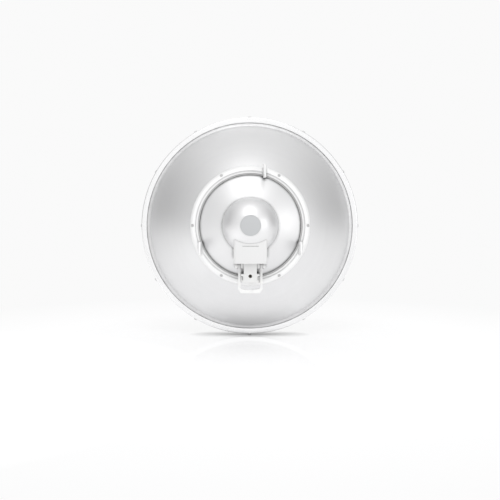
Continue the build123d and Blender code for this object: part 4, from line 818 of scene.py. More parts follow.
# --- dish, band and radome ------------------------------------------------------------------
@dataclass
class Dish:
    """Spun reflector, its rim band with the rain hood, the radome and the rim screws."""

    focal_length: float = 116.2 * MM
    vertex: float = -32.4 * MM
    sheet: float = 2.6 * MM
    bore: float = 14.0 * MM
    flange_depth: float = 160.8 * MM
    flange_sheet: float = 2.0 * MM
    lip_radius: float = 322.7 * MM
    lip_front: float = 176.6 * MM
    bend: float = 3.0 * MM
    rim_radius: float = 325.0 * MM
    band_sheet: float = 2.0 * MM
    band_back: float = 158.6 * MM
    band_front: float = 180.6 * MM
    band_inner: float = 309.0 * MM
    hood_front: float = 202.0 * MM
    hood_end_angle: float = 20.0
    hood_root_angle: float = 15.0
    hood_sweep: Point2 = (3.0 * MM, 5.0 * MM)
    apex: float = 225.0 * MM
    radome_wall: float = 3.0 * MM
    crown_radius: float = 306.0 * MM
    crown_drop: float = 32.5 * MM
    radome_edge: float = 322.6 * MM
    radome_edge_depth: float = 181.0 * MM
    shoulder: float = 178.6 * MM
    skirt: float = 320.4 * MM
    skirt_back: float = 165.0 * MM
    screw_count: int = 12
    screw_depth: float = 169.6 * MM

    def depth(self, radius: float) -> float:
        """Depth of the dish's rear surface at a radius."""
        return self.vertex + radius**2 / (4 * self.focal_length)

    def radius(self, depth: float) -> float:
        """Radius at which the dish's rear surface reaches a depth."""
        return sqrt(4 * self.focal_length * (depth - self.vertex))

    def parabola(self, start: float, end: float, shift: float = 0.0, count: int = 26) -> list[Point2]:
        """Points of the dish's curve between two radii, moved along the axis."""
        radii = [start + (end - start) * index / count for index in range(count + 1)]
        return [(radius, self.depth(radius) + shift) for radius in radii]

    def build(self) -> None:
        """Build every piece of the dish."""
        self.build_reflector()
        self.build_band()
        self.build_radome()
        self.build_screws()

    def build_reflector(self) -> None:
        """Spin the sheet with its flange and lip."""
        root = self.radius(self.flange_depth)
        inner_depth = self.flange_depth + self.flange_sheet
        inner_root = self.radius(inner_depth - self.sheet)
        lip_inside = self.lip_radius - self.flange_sheet
        bend_start = root - self.bend
        profile = self.parabola(self.bore, bend_start)
        profile += [(root, self.flange_depth - 0.4 * self.bend), (root + self.bend, self.flange_depth)]
        profile += arc((self.lip_radius - self.bend, self.flange_depth + self.bend), self.bend, -90, 0, 5)
        profile += [(self.lip_radius, self.lip_front), (lip_inside, self.lip_front)]
        profile += [(lip_inside, inner_depth), (inner_root + self.bend, inner_depth)]
        profile += self.parabola(inner_root - self.bend, self.bore, self.sheet)
        reflector = lathe("spun_reflector", profile)
        soften(reflector, width=0.3 * MM, segments=2, angle=40)
        install(reflector, PEARL_PAINT, ["reflector"])

    def hood_edge(self, height: float) -> float:
        """Depth of the band's front edge at a height: the hood's ends sweep down in a curve."""
        low = self.rim_radius * sin(radians(self.hood_root_angle))
        high = self.rim_radius * sin(radians(self.hood_end_angle))
        middle = high - self.hood_sweep[1]
        if height <= low:
            return self.band_front
        if height >= high:
            return self.hood_front
        bow = low - 2 * middle + high
        rise = middle - low
        share = (-2 * rise + sqrt(4 * rise**2 - 4 * bow * (low - height))) / (2 * bow)
        knee = self.band_front + self.hood_sweep[0]
        rest = 1 - share
        return rest**2 * self.band_front + 2 * share * rest * knee + share**2 * self.hood_front

    def build_band(self) -> None:
        """Spin the band, then draw its front edge out into the hood."""
        wall = self.rim_radius - self.band_sheet
        profile = [(self.band_inner, self.band_back)]
        profile += arc((self.rim_radius - self.bend, self.band_back + self.bend), self.bend, -90, 0, 6)
        profile += [(self.rim_radius, self.band_front), (wall, self.band_front)]
        inner_face = self.band_back + self.band_sheet
        profile += [(wall, inner_face), (self.band_inner, inner_face)]
        band = lathe("rim_band_with_hood", profile, 2 * LATHE_STEPS)
        edge = self.band_front - NEAR
        for point in band.data.vertices:
            if point.co.y > edge:
                point.co.y = self.hood_edge(point.co.z * self.rim_radius / hypot(point.co.x, point.co.z))
        soften(band, width=0.5 * MM, segments=3, angle=40)
        install(band, BAND_METAL, ["rim_band"])

    def crown(self, wall: float, count: int = 22) -> list[Point2]:
        """Points of the radome's face from the axis to its edge, inside or outside."""
        centre_drop = (self.crown_radius**2 + self.crown_drop**2) / (2 * self.crown_drop)
        apex = self.apex - wall
        face = []
        for index in range(count + 1):
            radius = self.crown_radius * index / count
            face.append((radius, apex - centre_drop + sqrt(centre_drop**2 - radius**2)))
        return face

    def corner(self, start: Point2, end: Point2, count: int = 8) -> list[Point2]:
        """Points of the arc that leaves the crown without a kink and ends at the radome's edge."""
        centre_drop = (self.crown_radius**2 + self.crown_drop**2) / (2 * self.crown_drop)
        inward = Vector((-self.crown_radius, -(centre_drop - self.crown_drop))).normalized()
        chord = Vector(end) - Vector(start)
        radius = chord.length_squared / (2 * chord.dot(inward))
        centre = Vector(start) + inward * radius
        first = degrees(atan2(start[1] - centre.y, start[0] - centre.x))
        last = degrees(atan2(end[1] - centre.y, end[0] - centre.x))
        return arc((centre.x, centre.y), radius, first, last, count)[1:]

    def build_radome(self) -> None:
        """Spin the radome's face, its shoulder and the skirt inside the lip."""
        inside = self.skirt - self.radome_wall
        outer = self.crown(0.0)
        inner = self.crown(self.radome_wall)
        profile = outer + self.corner(outer[-1], (self.radome_edge, self.radome_edge_depth))
        profile += [(self.radome_edge, self.shoulder), (self.skirt, self.shoulder)]
        profile += [(self.skirt, self.skirt_back), (inside, self.skirt_back)]
        profile += list(reversed(self.corner(inner[-1], (inside, self.shoulder)))) + list(reversed(inner))
        radome = lathe("radome_shell", profile)
        soften(radome, width=0.4 * MM, segments=2, angle=40)
        install(radome, RADOME_SKIN, ["radome"])

    def build_screws(self) -> None:
        """Copy the rim screw round the band."""
        maker = Screw(head=4.6 * MM, height=2.6 * MM, shank=2.4 * MM, length=14.6 * MM)
        screw = maker.build("rim_screw", Vector((self.rim_radius, self.screw_depth, 0)), Vector((1, 0, 0)))
        screws = ring_of("rim_screw_set", screw, self.screw_count)
        install(screws, STAINLESS, ["rim_screws"])


@dataclass
class Screw:
    """Pan-head screw with a hexagon socket."""

    head: float
    height: float
    shank: float
    length: float
    inset: float = 0.14
    crown: float = 0.12
    socket: float = 0.5
    socket_floor: float = 0.35

    def build(self, name: str, seat: Vector, outwards: Vector) -> Piece:
        """Build the screw with its head's underside at a point.

        Args:
            name: Name of the piece.
            seat: Centre of the head's underside.
            outwards: Direction from the shank to the head.

        Returns:
            The screw.
        """
        top = seat + outwards * self.height
        screw = rod(name, self.head, seat, top, sides=32)
        with editing(screw):
            select(screw, lambda place, _: (place - top).length < WELD)
            bpy.ops.mesh.inset(thickness=self.inset * self.head)
            bpy.ops.transform.translate(value=outwards * self.crown * self.height)
        floor = seat + outwards * self.socket_floor * self.height
        drill(screw, self.socket * self.head, floor, seat + outwards * 2 * self.height, sides=6)
        tip = seat - outwards * self.length
        combine(screw, rod("shank", self.shank, tip, seat + outwards * WELD, sides=20), "UNION")
        return soften(screw, width=0.25 * MM, segments=2, angle=25)


# --- mounting ring --------------------------------------------------------------------------
@dataclass
class MountRing:
    """White cast ring on the dish's back, with its recessed screws."""

    outer: float = 167.4 * MM
    land_inner: float = 153.0 * MM
    land_outer: float = 160.0 * MM
    flange: float = 5.0 * MM
    inner: float = 146.0 * MM
    front: float = 22.0 * MM
    wall_front: float = 11.0 * MM
    sheet: float = 3.0 * MM
    screw_count: int = 6
    screw_radius: float = 160.5 * MM
    recess: float = 4.2 * MM
    seat: float = 5.0 * MM
    drain: float = 2.5 * MM
    drain_depth: float = 12.7 * MM
    channel_edge: float = 161.5 * MM
    channel_front: float = 19.4 * MM

    def outline(self) -> list[Point2]:
        """Outside of the ring's section, from its front edge round the back to the bore."""
        return [
            (163.0 * MM, self.front),
            (self.outer, 18.0 * MM),
            (self.outer, 12.0 * MM),
            (163.5 * MM, 3.2 * MM),
            (self.land_outer, 0.0),
            (self.land_inner, 0.0),
            (152.75 * MM, self.flange),
            (146.5 * MM, self.flange),
            (self.inner, 5.5 * MM),
        ]

    def form(self) -> Piece:
        """Return the ring's filled form, used to trim what stands on it."""
        return lathe("ring_form", self.outline() + [(self.inner, self.front)], LATHE_STEPS)

    def build(self) -> None:
        """Build the casting and its screws."""
        bore = self.inner + 2.5 * MM
        channel = self.flange + self.sheet
        profile = self.outline() + [(self.inner, self.wall_front), (bore, self.wall_front), (bore, channel)]
        profile += [(self.land_outer, channel), (self.channel_edge, self.channel_front)]
        profile += [(self.channel_edge, self.front)]
        ring = lathe("cast_mount_ring", profile)
        for index in range(self.screw_count):
            centre = turned(index * 360 / self.screw_count) @ Vector((self.screw_radius, 0, 0))
            depth = Vector((0, self.seat, 0))
            drill(ring, self.recess, centre - depth, centre + depth, sides=32)
        low = Vector((0, self.drain_depth, -self.outer - 2 * MM))
        drill(ring, self.drain, low, low + Vector((0, 0, 8 * MM)), sides=24)
        soften(ring, width=0.7 * MM, segments=3, angle=20)
        install(ring, POWDER_WHITE, ["mount_ring"])
        maker = Screw(head=3.8 * MM, height=2.8 * MM, shank=2.0 * MM, length=31.6 * MM)
        screw = maker.build("ring_screw", Vector((self.screw_radius, self.seat, 0)), Vector((0, -1, 0)))
        screws = ring_of("ring_screw_set", screw, self.screw_count)
        install(screws, STAINLESS, ["ring_screws"])


# --- hooks ----------------------------------------------------------------------------------
@dataclass
class Hook:
    """Plate with a downward notch that drops over a rung of the pole bracket."""

    node: str
    centre_x: float
    notch_z: float
    sheet: float = 8.0 * MM
    tip_sheet: float = 3.0 * MM
    root: float = 5.0 * MM
    back: float = -36.0 * MM
    taper: float = -21.0 * MM
    notch_depth: float = -14.0 * MM
    notch: float = 6.0 * MM
    above: float = 22.0 * MM
    below: float = 13.0 * MM
    nose: float = 8.0 * MM
    lead: float = 2.5 * MM

    def build(self, ring_form: Piece) -> None:
        """Cut the plate, thin its nose and trim it to the ring.

        Args:
            ring_form: Filled form of the mounting ring.
        """
        top = self.notch_z + self.above
        bottom = self.notch_z - self.below
        mouth = self.notch_depth - self.notch
        outline = [(self.root, bottom), (self.root, top)]
        outline += arc((self.back + self.nose, top - self.nose), self.nose, 90, 180, 8)
        outline += [(self.back, bottom + 2 * self.lead), (self.back + self.lead, bottom)]
        outline += [(mouth - 0.6 * self.lead, bottom), (mouth, bottom + self.lead)]
        outline += arc((self.notch_depth, self.notch_z), self.notch, 180, 0, 14)
        inner = mouth + 2 * self.notch
        outline += [(inner, bottom + self.lead), (inner + 0.6 * self.lead, bottom)]
        low = self.centre_x - self.sheet / 2
        hook = plate(self.node + "_plate", outline, Across.X, low, low + self.sheet)
        with editing(hook):
            bpy.ops.mesh.select_all(action="SELECT")
            bpy.ops.mesh.bisect(plane_co=(0, self.taper, 0), plane_no=(0, 1, 0))
        thinning = 1.0 - self.tip_sheet / self.sheet
        for point in hook.data.vertices:
            share = min(max((self.taper - point.co.y) / (self.taper - self.back), 0.0), 1.0)
            point.co.x = self.centre_x + (point.co.x - self.centre_x) * (1.0 - thinning * share)
        combine(hook, ring_form, keep_other=True)
        soften(hook, width=0.7 * MM, segments=3, angle=22)
        install(hook, POWDER_WHITE, [self.node])


# --- radio hub ------------------------------------------------------------------------------
@dataclass
class Hub:
    """Domed housing of the radio, with the plain disc at its end."""

    radius: float = 77.0 * MM
    rise: float = 70.0 * MM
    centre: float = -15.0 * MM
    wall: float = 3.0 * MM
    end_radius: float = 28.0 * MM
    seam: float = -33.0 * MM
    seal: float = 0.6 * MM
    disc_gap: float = 0.35 * MM
    disc_sink: float = 1.0 * MM
    disc_edge: float = 0.25 * MM
    disc_seat: float = 0.98
    neck_half: float = 39.4 * MM
    neck_front: float = -24.1 * MM
    neck_back: float = -57.8 * MM
    neck_top: float = -41.6 * MM

    def surface(self, front: float, back: float, wall: float = 0.0, count: int = 34) -> list[Point2]:
        """Points of the dome's ellipse between two depths, outside or inside its wall."""
        radius = self.radius - wall
        rise = self.rise - wall
        start = asin((self.centre - front) / rise)
        end = asin((self.centre - back) / rise)
        turns = [start + (end - start) * index / count for index in range(count + 1)]
        return [(radius * cos(turn), self.centre - rise * sin(turn)) for turn in turns]

    def end_depth(self) -> float:
        """Depth of the dome's flat end."""
        return self.centre - self.rise * sqrt(1 - (self.end_radius / self.radius) ** 2)

    def build(self) -> None:
        """Build the dome and its end disc."""
        end = self.end_depth()
        front = self.seam - self.seal
        recess = self.end_radius - 0.5 * self.disc_gap
        profile = self.surface(front, end)
        floor = end + self.disc_sink
        profile += [(recess, end + 0.5 * self.disc_sink), (recess, floor), (0.0, floor)]
        profile += [(0.0, end + self.wall)] + list(reversed(self.surface(front, end + self.wall, self.wall)))
        dome = lathe("hub_dome_shell", self.closed_on_axis(profile))
        low = Vector((-self.neck_half, self.neck_back, -2 * self.radius))
        combine(dome, block("neck_room", low, Vector((self.neck_half, self.neck_front, self.neck_top))))
        soften(dome, width=0.35 * MM, segments=2, angle=30)
        install(dome, HUB_PEARL, ["hub_dome"])
        edge = recess - self.disc_gap
        seat = end + self.disc_seat * self.disc_sink
        disc_profile = [(0.0, seat), (edge, seat), (edge, end + self.disc_edge)]
        disc_profile += [(edge - self.disc_edge, end), (0.0, end)]
        disc = lathe("hub_end_disc", disc_profile)
        soften(disc, width=0.15 * MM, segments=2, angle=30)
        install(disc, DISC_GREY, ["end_disc"])

    def closed_on_axis(self, profile: list[Point2]) -> list[Point2]:
        """Turn a shell's profile so that it starts and ends on the axis."""
        last = max(index for index, point in enumerate(profile) if point[0] == 0.0)
        return profile[last:] + profile[:last]


# --- port cover -----------------------------------------------------------------------------
@dataclass
class PortCover:
    """Cover over the port bay: flat sides, a gently bulging back, trimmed to the dome."""

    half: float = 45.5 * MM
    wall: float = 3.0 * MM
    corner: float = 8.0 * MM
    bulge: float = 151.0 * MM
    bulge_centre: float = 81.0 * MM
    top: float = -25.0 * MM
    bottom: float = -102.5 * MM
    side_bottom: float = -91.0 * MM
    gap: float = 0.4 * MM
    groove_z: float = -55.4 * MM
    groove_half: float = 22.0 * MM
    groove_height: float = 0.6 * MM
    groove_middle: float = 0.6 * MM
    groove_end: float = 2.2 * MM
    rail: float = -30.0 * MM
    rail_half: float = 1.6 * MM
    rail_cut: float = 0.45
    side_cut: tuple[Point2, ...] = ((-53.0, 0.0), (-57.0, -3.0), (-60.0, -9.5), (-61.5, -39.0))
    room: float = 5.0 * MM

    def outline(self, inset: float, front: float, count: int = 30) -> list[Point2]:
        """Plan outline, inset from the outside."""
        half = self.half - inset
        bulge = self.bulge - inset
        round_off = self.corner - inset
        reach = bulge - round_off
        side = asin((half - round_off) / reach)
        centre = ((half - round_off), self.bulge_centre - reach * cos(side))
        back = []
        for index in range(count + 1):
            turn = side * (2 * index / count - 1)
            back.append((bulge * sin(turn), self.bulge_centre - bulge * cos(turn)))
        right = arc(centre, round_off, -90 + degrees(side), 0, 8)[1:]
        left = [(-x, y) for x, y in reversed(right)]
        return [(-half, front)] + left + back + right + [(half, front)]

    def build(self, dish_form: Piece, dome_form: Piece) -> None:
        """Build the cover.

        Args:
            dish_form: Form of the dish and what lies in front of it.
            dome_form: Form of the dome's outside.
        """
        cover = plate("port_cover_shell", self.outline(0.0, 0.0), Across.Z, self.bottom, self.top)
        inside = self.outline(self.wall, self.room)
        combine(cover, plate("room", inside, Across.Z, self.bottom - self.room, self.top + self.room))
        for side in (-1, 1):
            reach = side * (self.half - self.rail_cut * self.wall)
            low = Vector((reach, self.rail - self.rail_half, self.bottom - MM))
            high = Vector((side * (self.half - 2 * self.wall), self.rail + self.rail_half, self.top))
            corners = [Vector(map(min, low, high)), Vector(map(max, low, high))]
            combine(cover, block("rail_slot", *corners))
        skirt = [(y * MM, self.side_bottom + z * MM) for y, z in self.side_cut]
        skirt = [(self.room, skirt[-1][1]), (self.room, self.side_bottom + MM)] + skirt
        combine(cover, plate("side_trim", skirt, Across.X, -2 * self.half, 2 * self.half))
        combine(cover, dish_form, keep_other=True)
        combine(cover, dome_form, keep_other=True)
        depth = self.bulge_centre - self.bulge
        end = depth + self.groove_end
        groove = [(-self.groove_half, end), (0.0, depth + self.groove_middle), (self.groove_half, end)]
        groove += [(self.groove_half, depth - 2 * self.room), (-self.groove_half, depth - 2 * self.room)]
        low = self.groove_z - self.groove_height
        combine(cover, plate("groove", groove, Across.Z, low, self.groove_z + self.groove_height))
        soften(cover, width=0.6 * MM, segments=3, angle=28)
        install(cover, SHADED_COVER_WHITE, ["port_cover"], "port_cover")


# --- latch ----------------------------------------------------------------------------------
@dataclass
class Latch:
    """Latch plate, its U-shaped bail and the pins that the bail turns on."""

    pivot: Point2 = (-11.0 * MM, -112.0 * MM)
    pin: float = 3.0 * MM
    pin_hole: float = 3.05 * MM
    pin_head: float = 6.5 * MM
    pin_end: float = 41.5 * MM
    half: float = 33.4 * MM
    arm: float = 6.6 * MM
    eye: float = 6.3 * MM
    bail_bottom: float = -185.6 * MM
    head_half: float = 26.0 * MM
    head_top: float = -133.0 * MM
    head_bottom: float = -157.0 * MM
    head_back: float = -24.0 * MM
    head_front: float = 5.0 * MM
    tongue_half: float = 18.0 * MM
    tongue_sheet: float = 5.0 * MM
    tongue_top: float = -92.0 * MM
    lock_z: float = -139.0 * MM
    lock_mouth: float = 5.0 * MM
    lock_mouth_depth: float = 3.0 * MM
    lock_insert: float = 4.6 * MM
    foot_z: float = -98.0 * MM
    foot_half: float = 12.0 * MM
    foot_hole: float = 2.15 * MM
    pocket: tuple[Point2, ...] = ((5.3, -1.4), (14.9, -1.4), (14.4, -8.0), (10.5, -14.5), (5.3, -17.0))
    slots: tuple[tuple[Point2, Point2], ...] = (((21.0, -144.6), (1.6, 10.2)), ((24.0, -140.3), (6.0, 1.6)))
    slot_front: float = -14.0 * MM
    outside: float = -30.0 * MM
    shoulder: float = -172.6 * MM
    inner_corner: float = 4.6 * MM
    inner_corner_z: float = -168.0 * MM
    chamfer: float = 25.4 * MM
    sag_radius: float = 90.6 * MM
    sag_centre: float = -85.0 * MM
    sag_angle: float = 14.6
    scoop: tuple[float, float, float] = (24.0 * MM, 60.0 * MM, -92.0 * MM)
    scoop_top: float = -164.0 * MM
    head_gap: float = 0.5 * MM
    head_steps: Point2 = (1.6 * MM, 1.2 * MM)
    head_dish: float = 1.1 * MM

    def on_pivot(self, side: int, reach: float) -> Vector:
        """Point on the pivot's axis, that far out on one side."""
        return Vector((side * reach, *self.pivot))

    def build(self, ring_form: Piece, dish_form: Piece) -> None:
        """Build the bracket, the bail and the pins.

        Args:
            ring_form: Filled form of the mounting ring.
            dish_form: Form of the dish and what lies in front of it.
        """
        self.build_bracket(ring_form, dish_form)
        self.build_bail()
        self.build_pins()

    def build_bracket(self, ring_form: Piece, dish_form: Piece) -> None:
        """Weld the head, tongue, ribs, lugs and foot, then cut the pockets, slots and holes."""
        low = Vector((-self.head_half, self.head_back, self.head_bottom))
        bracket = block("latch_plate", low, Vector((self.head_half, self.head_front, self.head_top)))
        with editing(bracket, Pick.EDGE):
            middle = (self.head_top + self.head_bottom) / 2
            reach = (self.head_top - self.head_bottom) / 2 - NEAR
            side = self.head_half - NEAR
            select(
                bracket, lambda place, _: abs(place.x) > side and abs(place.z - middle) > reach, Pick.EDGE
            )
            bpy.ops.mesh.bevel(offset=2 * MM, segments=5, affect="EDGES")
        front = self.head_back + self.tongue_sheet
        low = Vector((-self.tongue_half, self.head_back, self.head_top - 4 * MM))
        combine(bracket, block("tongue", low, Vector((self.tongue_half, front, self.tongue_top))), "UNION")
        lug = self.eye - 0.2 * MM
        rib = [(front, self.tongue_top - 6 * MM), (self.pivot[0], self.pivot[1] + self.eye)]
        rib += [(self.pivot[0], self.pivot[1] - self.eye), (front, self.head_top)]
        rib += [(self.head_back + MM, self.head_top), (self.head_back + MM, self.tongue_top - 6 * MM)]
        eye = arc(self.pivot, lug, -90, 90, 18)
        eye += [(front - MM, self.pivot[1] + lug), (front - MM, self.pivot[1] - lug)]
        for side in (-1, 1):
            inside = side * (self.tongue_half - 3 * MM)
            for outline, outside in ((rib, side * self.tongue_half), (eye, side * self.head_half)):
                piece = plate("rib", outline, Across.X, min(inside, outside), max(inside, outside))
                combine(bracket, piece, "UNION")
        foot = Vector((self.foot_half, -5 * MM, self.foot_z + 5 * MM))
        low = Vector((-self.foot_half, self.head_back + MM, self.foot_z - 11 * MM))
        combine(bracket, block("foot", low, foot), "UNION")
        combine(bracket, ring_form, keep_other=True)
        combine(bracket, dish_form, keep_other=True)
        for side in (-1, 1):
            outline = [(side * x * MM, y * MM) for x, y in self.pocket]
            top = self.head_top - 4 * MM
            combine(bracket, plate("pocket", outline, Across.Z, self.head_bottom - MM, top))
            for (x, z), (width, height) in self.slots:
                low = Vector(((side * x - width / 2) * MM, self.head_back - 2 * MM, (z - height / 2) * MM))
                high = Vector(((side * x + width / 2) * MM, self.slot_front, (z + height / 2) * MM))
                combine(bracket, block("slot", low, high))
            low = self.on_pivot(side, self.tongue_half - 5 * MM)
            drill(bracket, self.pin, low, self.on_pivot(side, self.head_half + 8 * MM), sides=28)
        holes = (
            (self.lock_mouth, self.lock_z, self.head_back + self.lock_mouth_depth, 40),
            (self.lock_insert, self.lock_z, self.head_front + 3 * MM, 40),
            (self.foot_hole, self.foot_z, self.head_front + 5 * MM, 24),
        )
        for radius, z, end, sides in holes:
            drill(bracket, radius, Vector((0, self.outside, z)), Vector((0, end, z)), sides)
        soften(bracket, width=0.5 * MM, segments=2, angle=35)
        install(bracket, MOULDED_WHITE, ["latch_bracket"])

    def bail_side(self, count: int = 10) -> list[Point2]:
        """Side view of the bail: a round eye, then a blade that leans back to the pull bar."""
        depth, height = self.pivot
        back = [(-17.3, -112.0), (-17.9, -116.0), (-19.8, -121.0), (-22.5, -128.0), (-26.6, -139.0)]
        back += [(-31.0, -152.0), (-33.9, -164.0), (-36.0, -174.0), (-35.8, -179.5), (-33.8, -183.8)]
        back += [(-30.0, -185.6), (-25.0, -185.6), (-22.7, -183.6), (-21.5, -180.0), (-20.8, -170.0)]
        back += [(-19.5, -160.0), (-16.8, -148.0), (-13.0, -138.0), (-8.6, -127.0), (-5.6, -118.0)]
        side = [(y * MM, z * MM) for y, z in back]
        return side + arc((depth, height), self.eye, 0, 170, count)

    def build_bail(self) -> None:
        """Cross the side view with the U outline, then cut the finger scoop and the eyes."""
        bail = plate("latch_bail_loop", self.bail_side(), Across.X, -self.half, self.half)
        inside = self.half - self.arm
        top = -100 * MM
        sag = arc((0.0, self.sag_centre), self.sag_radius, -90 - self.sag_angle, -90 + self.sag_angle, 14)
        corner = arc((-inside + self.inner_corner, self.inner_corner_z), self.inner_corner, 180, 262, 5)
        u_shape = [(-self.half, self.shoulder), (-self.half, top), (-inside, top)] + corner + sag[1:-1]
        u_shape += [(-x, z) for x, z in reversed(corner)]
        u_shape += [(inside, top), (self.half, top), (self.half, self.shoulder)]
        u_shape += [(self.chamfer, self.bail_bottom), (-self.chamfer, self.bail_bottom)]
        combine(bail, plate("u_shape", u_shape, Across.Y, -60 * MM, 10 * MM), "INTERSECT")
        low = Vector((0, 0, self.bail_bottom - MM))
        scoop = rod("scoop", 1.0, low, Vector((0, 0, self.scoop_top)), sides=64)
        with editing(scoop):
            bpy.ops.mesh.select_all(action="SELECT")
            bpy.ops.transform.resize(value=(*self.scoop[:2], 1.0), center_override=(0, 0, 0))
            bpy.ops.transform.translate(value=(0, self.scoop[2], 0))
        combine(bail, scoop)
        for side in (-1, 1):
            low = self.on_pivot(side, inside - MM)
            drill(bail, self.pin_hole, low, self.on_pivot(side, self.half + MM), sides=32)
        soften(bail, width=1.1 * MM, segments=4, angle=28)
        install(bail, MOULDED_WHITE, ["latch_bail"], "latch_bail")

    def build_pins(self) -> None:
        """Build a pin with a domed head at each end of the pivot."""
        pins = []
        for side in (-1, 1):
            head = self.on_pivot(side, self.half + self.head_gap)
            cap = self.on_pivot(side, self.pin_end)
            pin = rod("pin", self.pin_head, head, cap)
            with editing(pin):
                select(pin, lambda place, _: (place - cap).length < NEAR)
                for step in self.head_steps:
                    bpy.ops.mesh.inset(thickness=step)
                bpy.ops.transform.translate(value=(-side * self.head_dish, 0, 0))
            low = self.on_pivot(side, self.tongue_half - 4 * MM)
            shank = rod("shank", self.pin - 0.02 * MM, low, head + Vector((side * MM, 0, 0)), sides=28)
            combine(pin, shank, "UNION")
            pins.append(soften(pin, width=0.6 * MM, segments=3, angle=25))
        install(join("latch_pin_pair", pins), MOULDED_WHITE, ["latch_pins"])


# --- port bay -------------------------------------------------------------------------------
@dataclass
class PortBay:
    """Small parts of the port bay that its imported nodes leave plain."""

    contact_count: int = 8
    contact_pitch: float = 1.02 * MM
    contact_width: float = 0.45 * MM

    def build(self) -> None:
        """Add the spring contacts inside the jack."""
        low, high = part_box("ethernet_jack")
        contacts = []
        top = high.z - 8.2 * MM
        front = high.y - 2.6 * MM
        for index in range(self.contact_count):
            centre = (index - (self.contact_count - 1) / 2) * self.contact_pitch
            foot = low.z + 3.0 * MM
            wire = [(front, top), (front - 2.6 * MM, top - 1.2 * MM), (front - 0.4 * MM, foot)]
            wire += [(front, foot), (front - 2.1 * MM, top - 1.3 * MM)]
            wire.append((front + 0.3 * MM, top - 0.4 * MM))
            left = centre - self.contact_width / 2
            contacts.append(plate("contact", wire, Across.X, left, left + self.contact_width))
        springs = join("jack_contacts", contacts)
        soften(springs, width=0.05 * MM, segments=1, angle=30)
        install(springs, GOLD)


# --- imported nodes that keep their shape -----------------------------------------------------
def dress_packed_nodes() -> None:
    """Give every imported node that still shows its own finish, or else that of its material slot."""
    for entry in frame["record"]["subparts"]:
        node = frame["nodes"][entry["node"]]
        if not node.hide_render:
            finish = NODE_FINISHES.get(node.name, CAD_FINISHES[entry["material_slot"]])
            paint(node, finish)
            LOG.info("%s: finish %s", node.name, finish.name)


# --- studio ---------------------------------------------------------------------------------
@dataclass(frozen=True)
class Softbox:
    """A round soft light, aimed at the hub."""

    name: str
    place: tuple[float, float, float]
    size: float
    power: float

    def build(self) -> None:
        """Hang the light."""
        lamp = bpy.data.lights.new(self.name, "AREA")
        lamp.shape = "DISK"
        lamp.size = self.size
        lamp.energy = self.power
        stand = bpy.data.objects.new(self.name, lamp)
        stand.location = self.place
        stand.rotation_euler = (-Vector(self.place)).to_track_quat("-Z", "Y").to_euler()
        bpy.context.scene.collection.objects.link(stand)


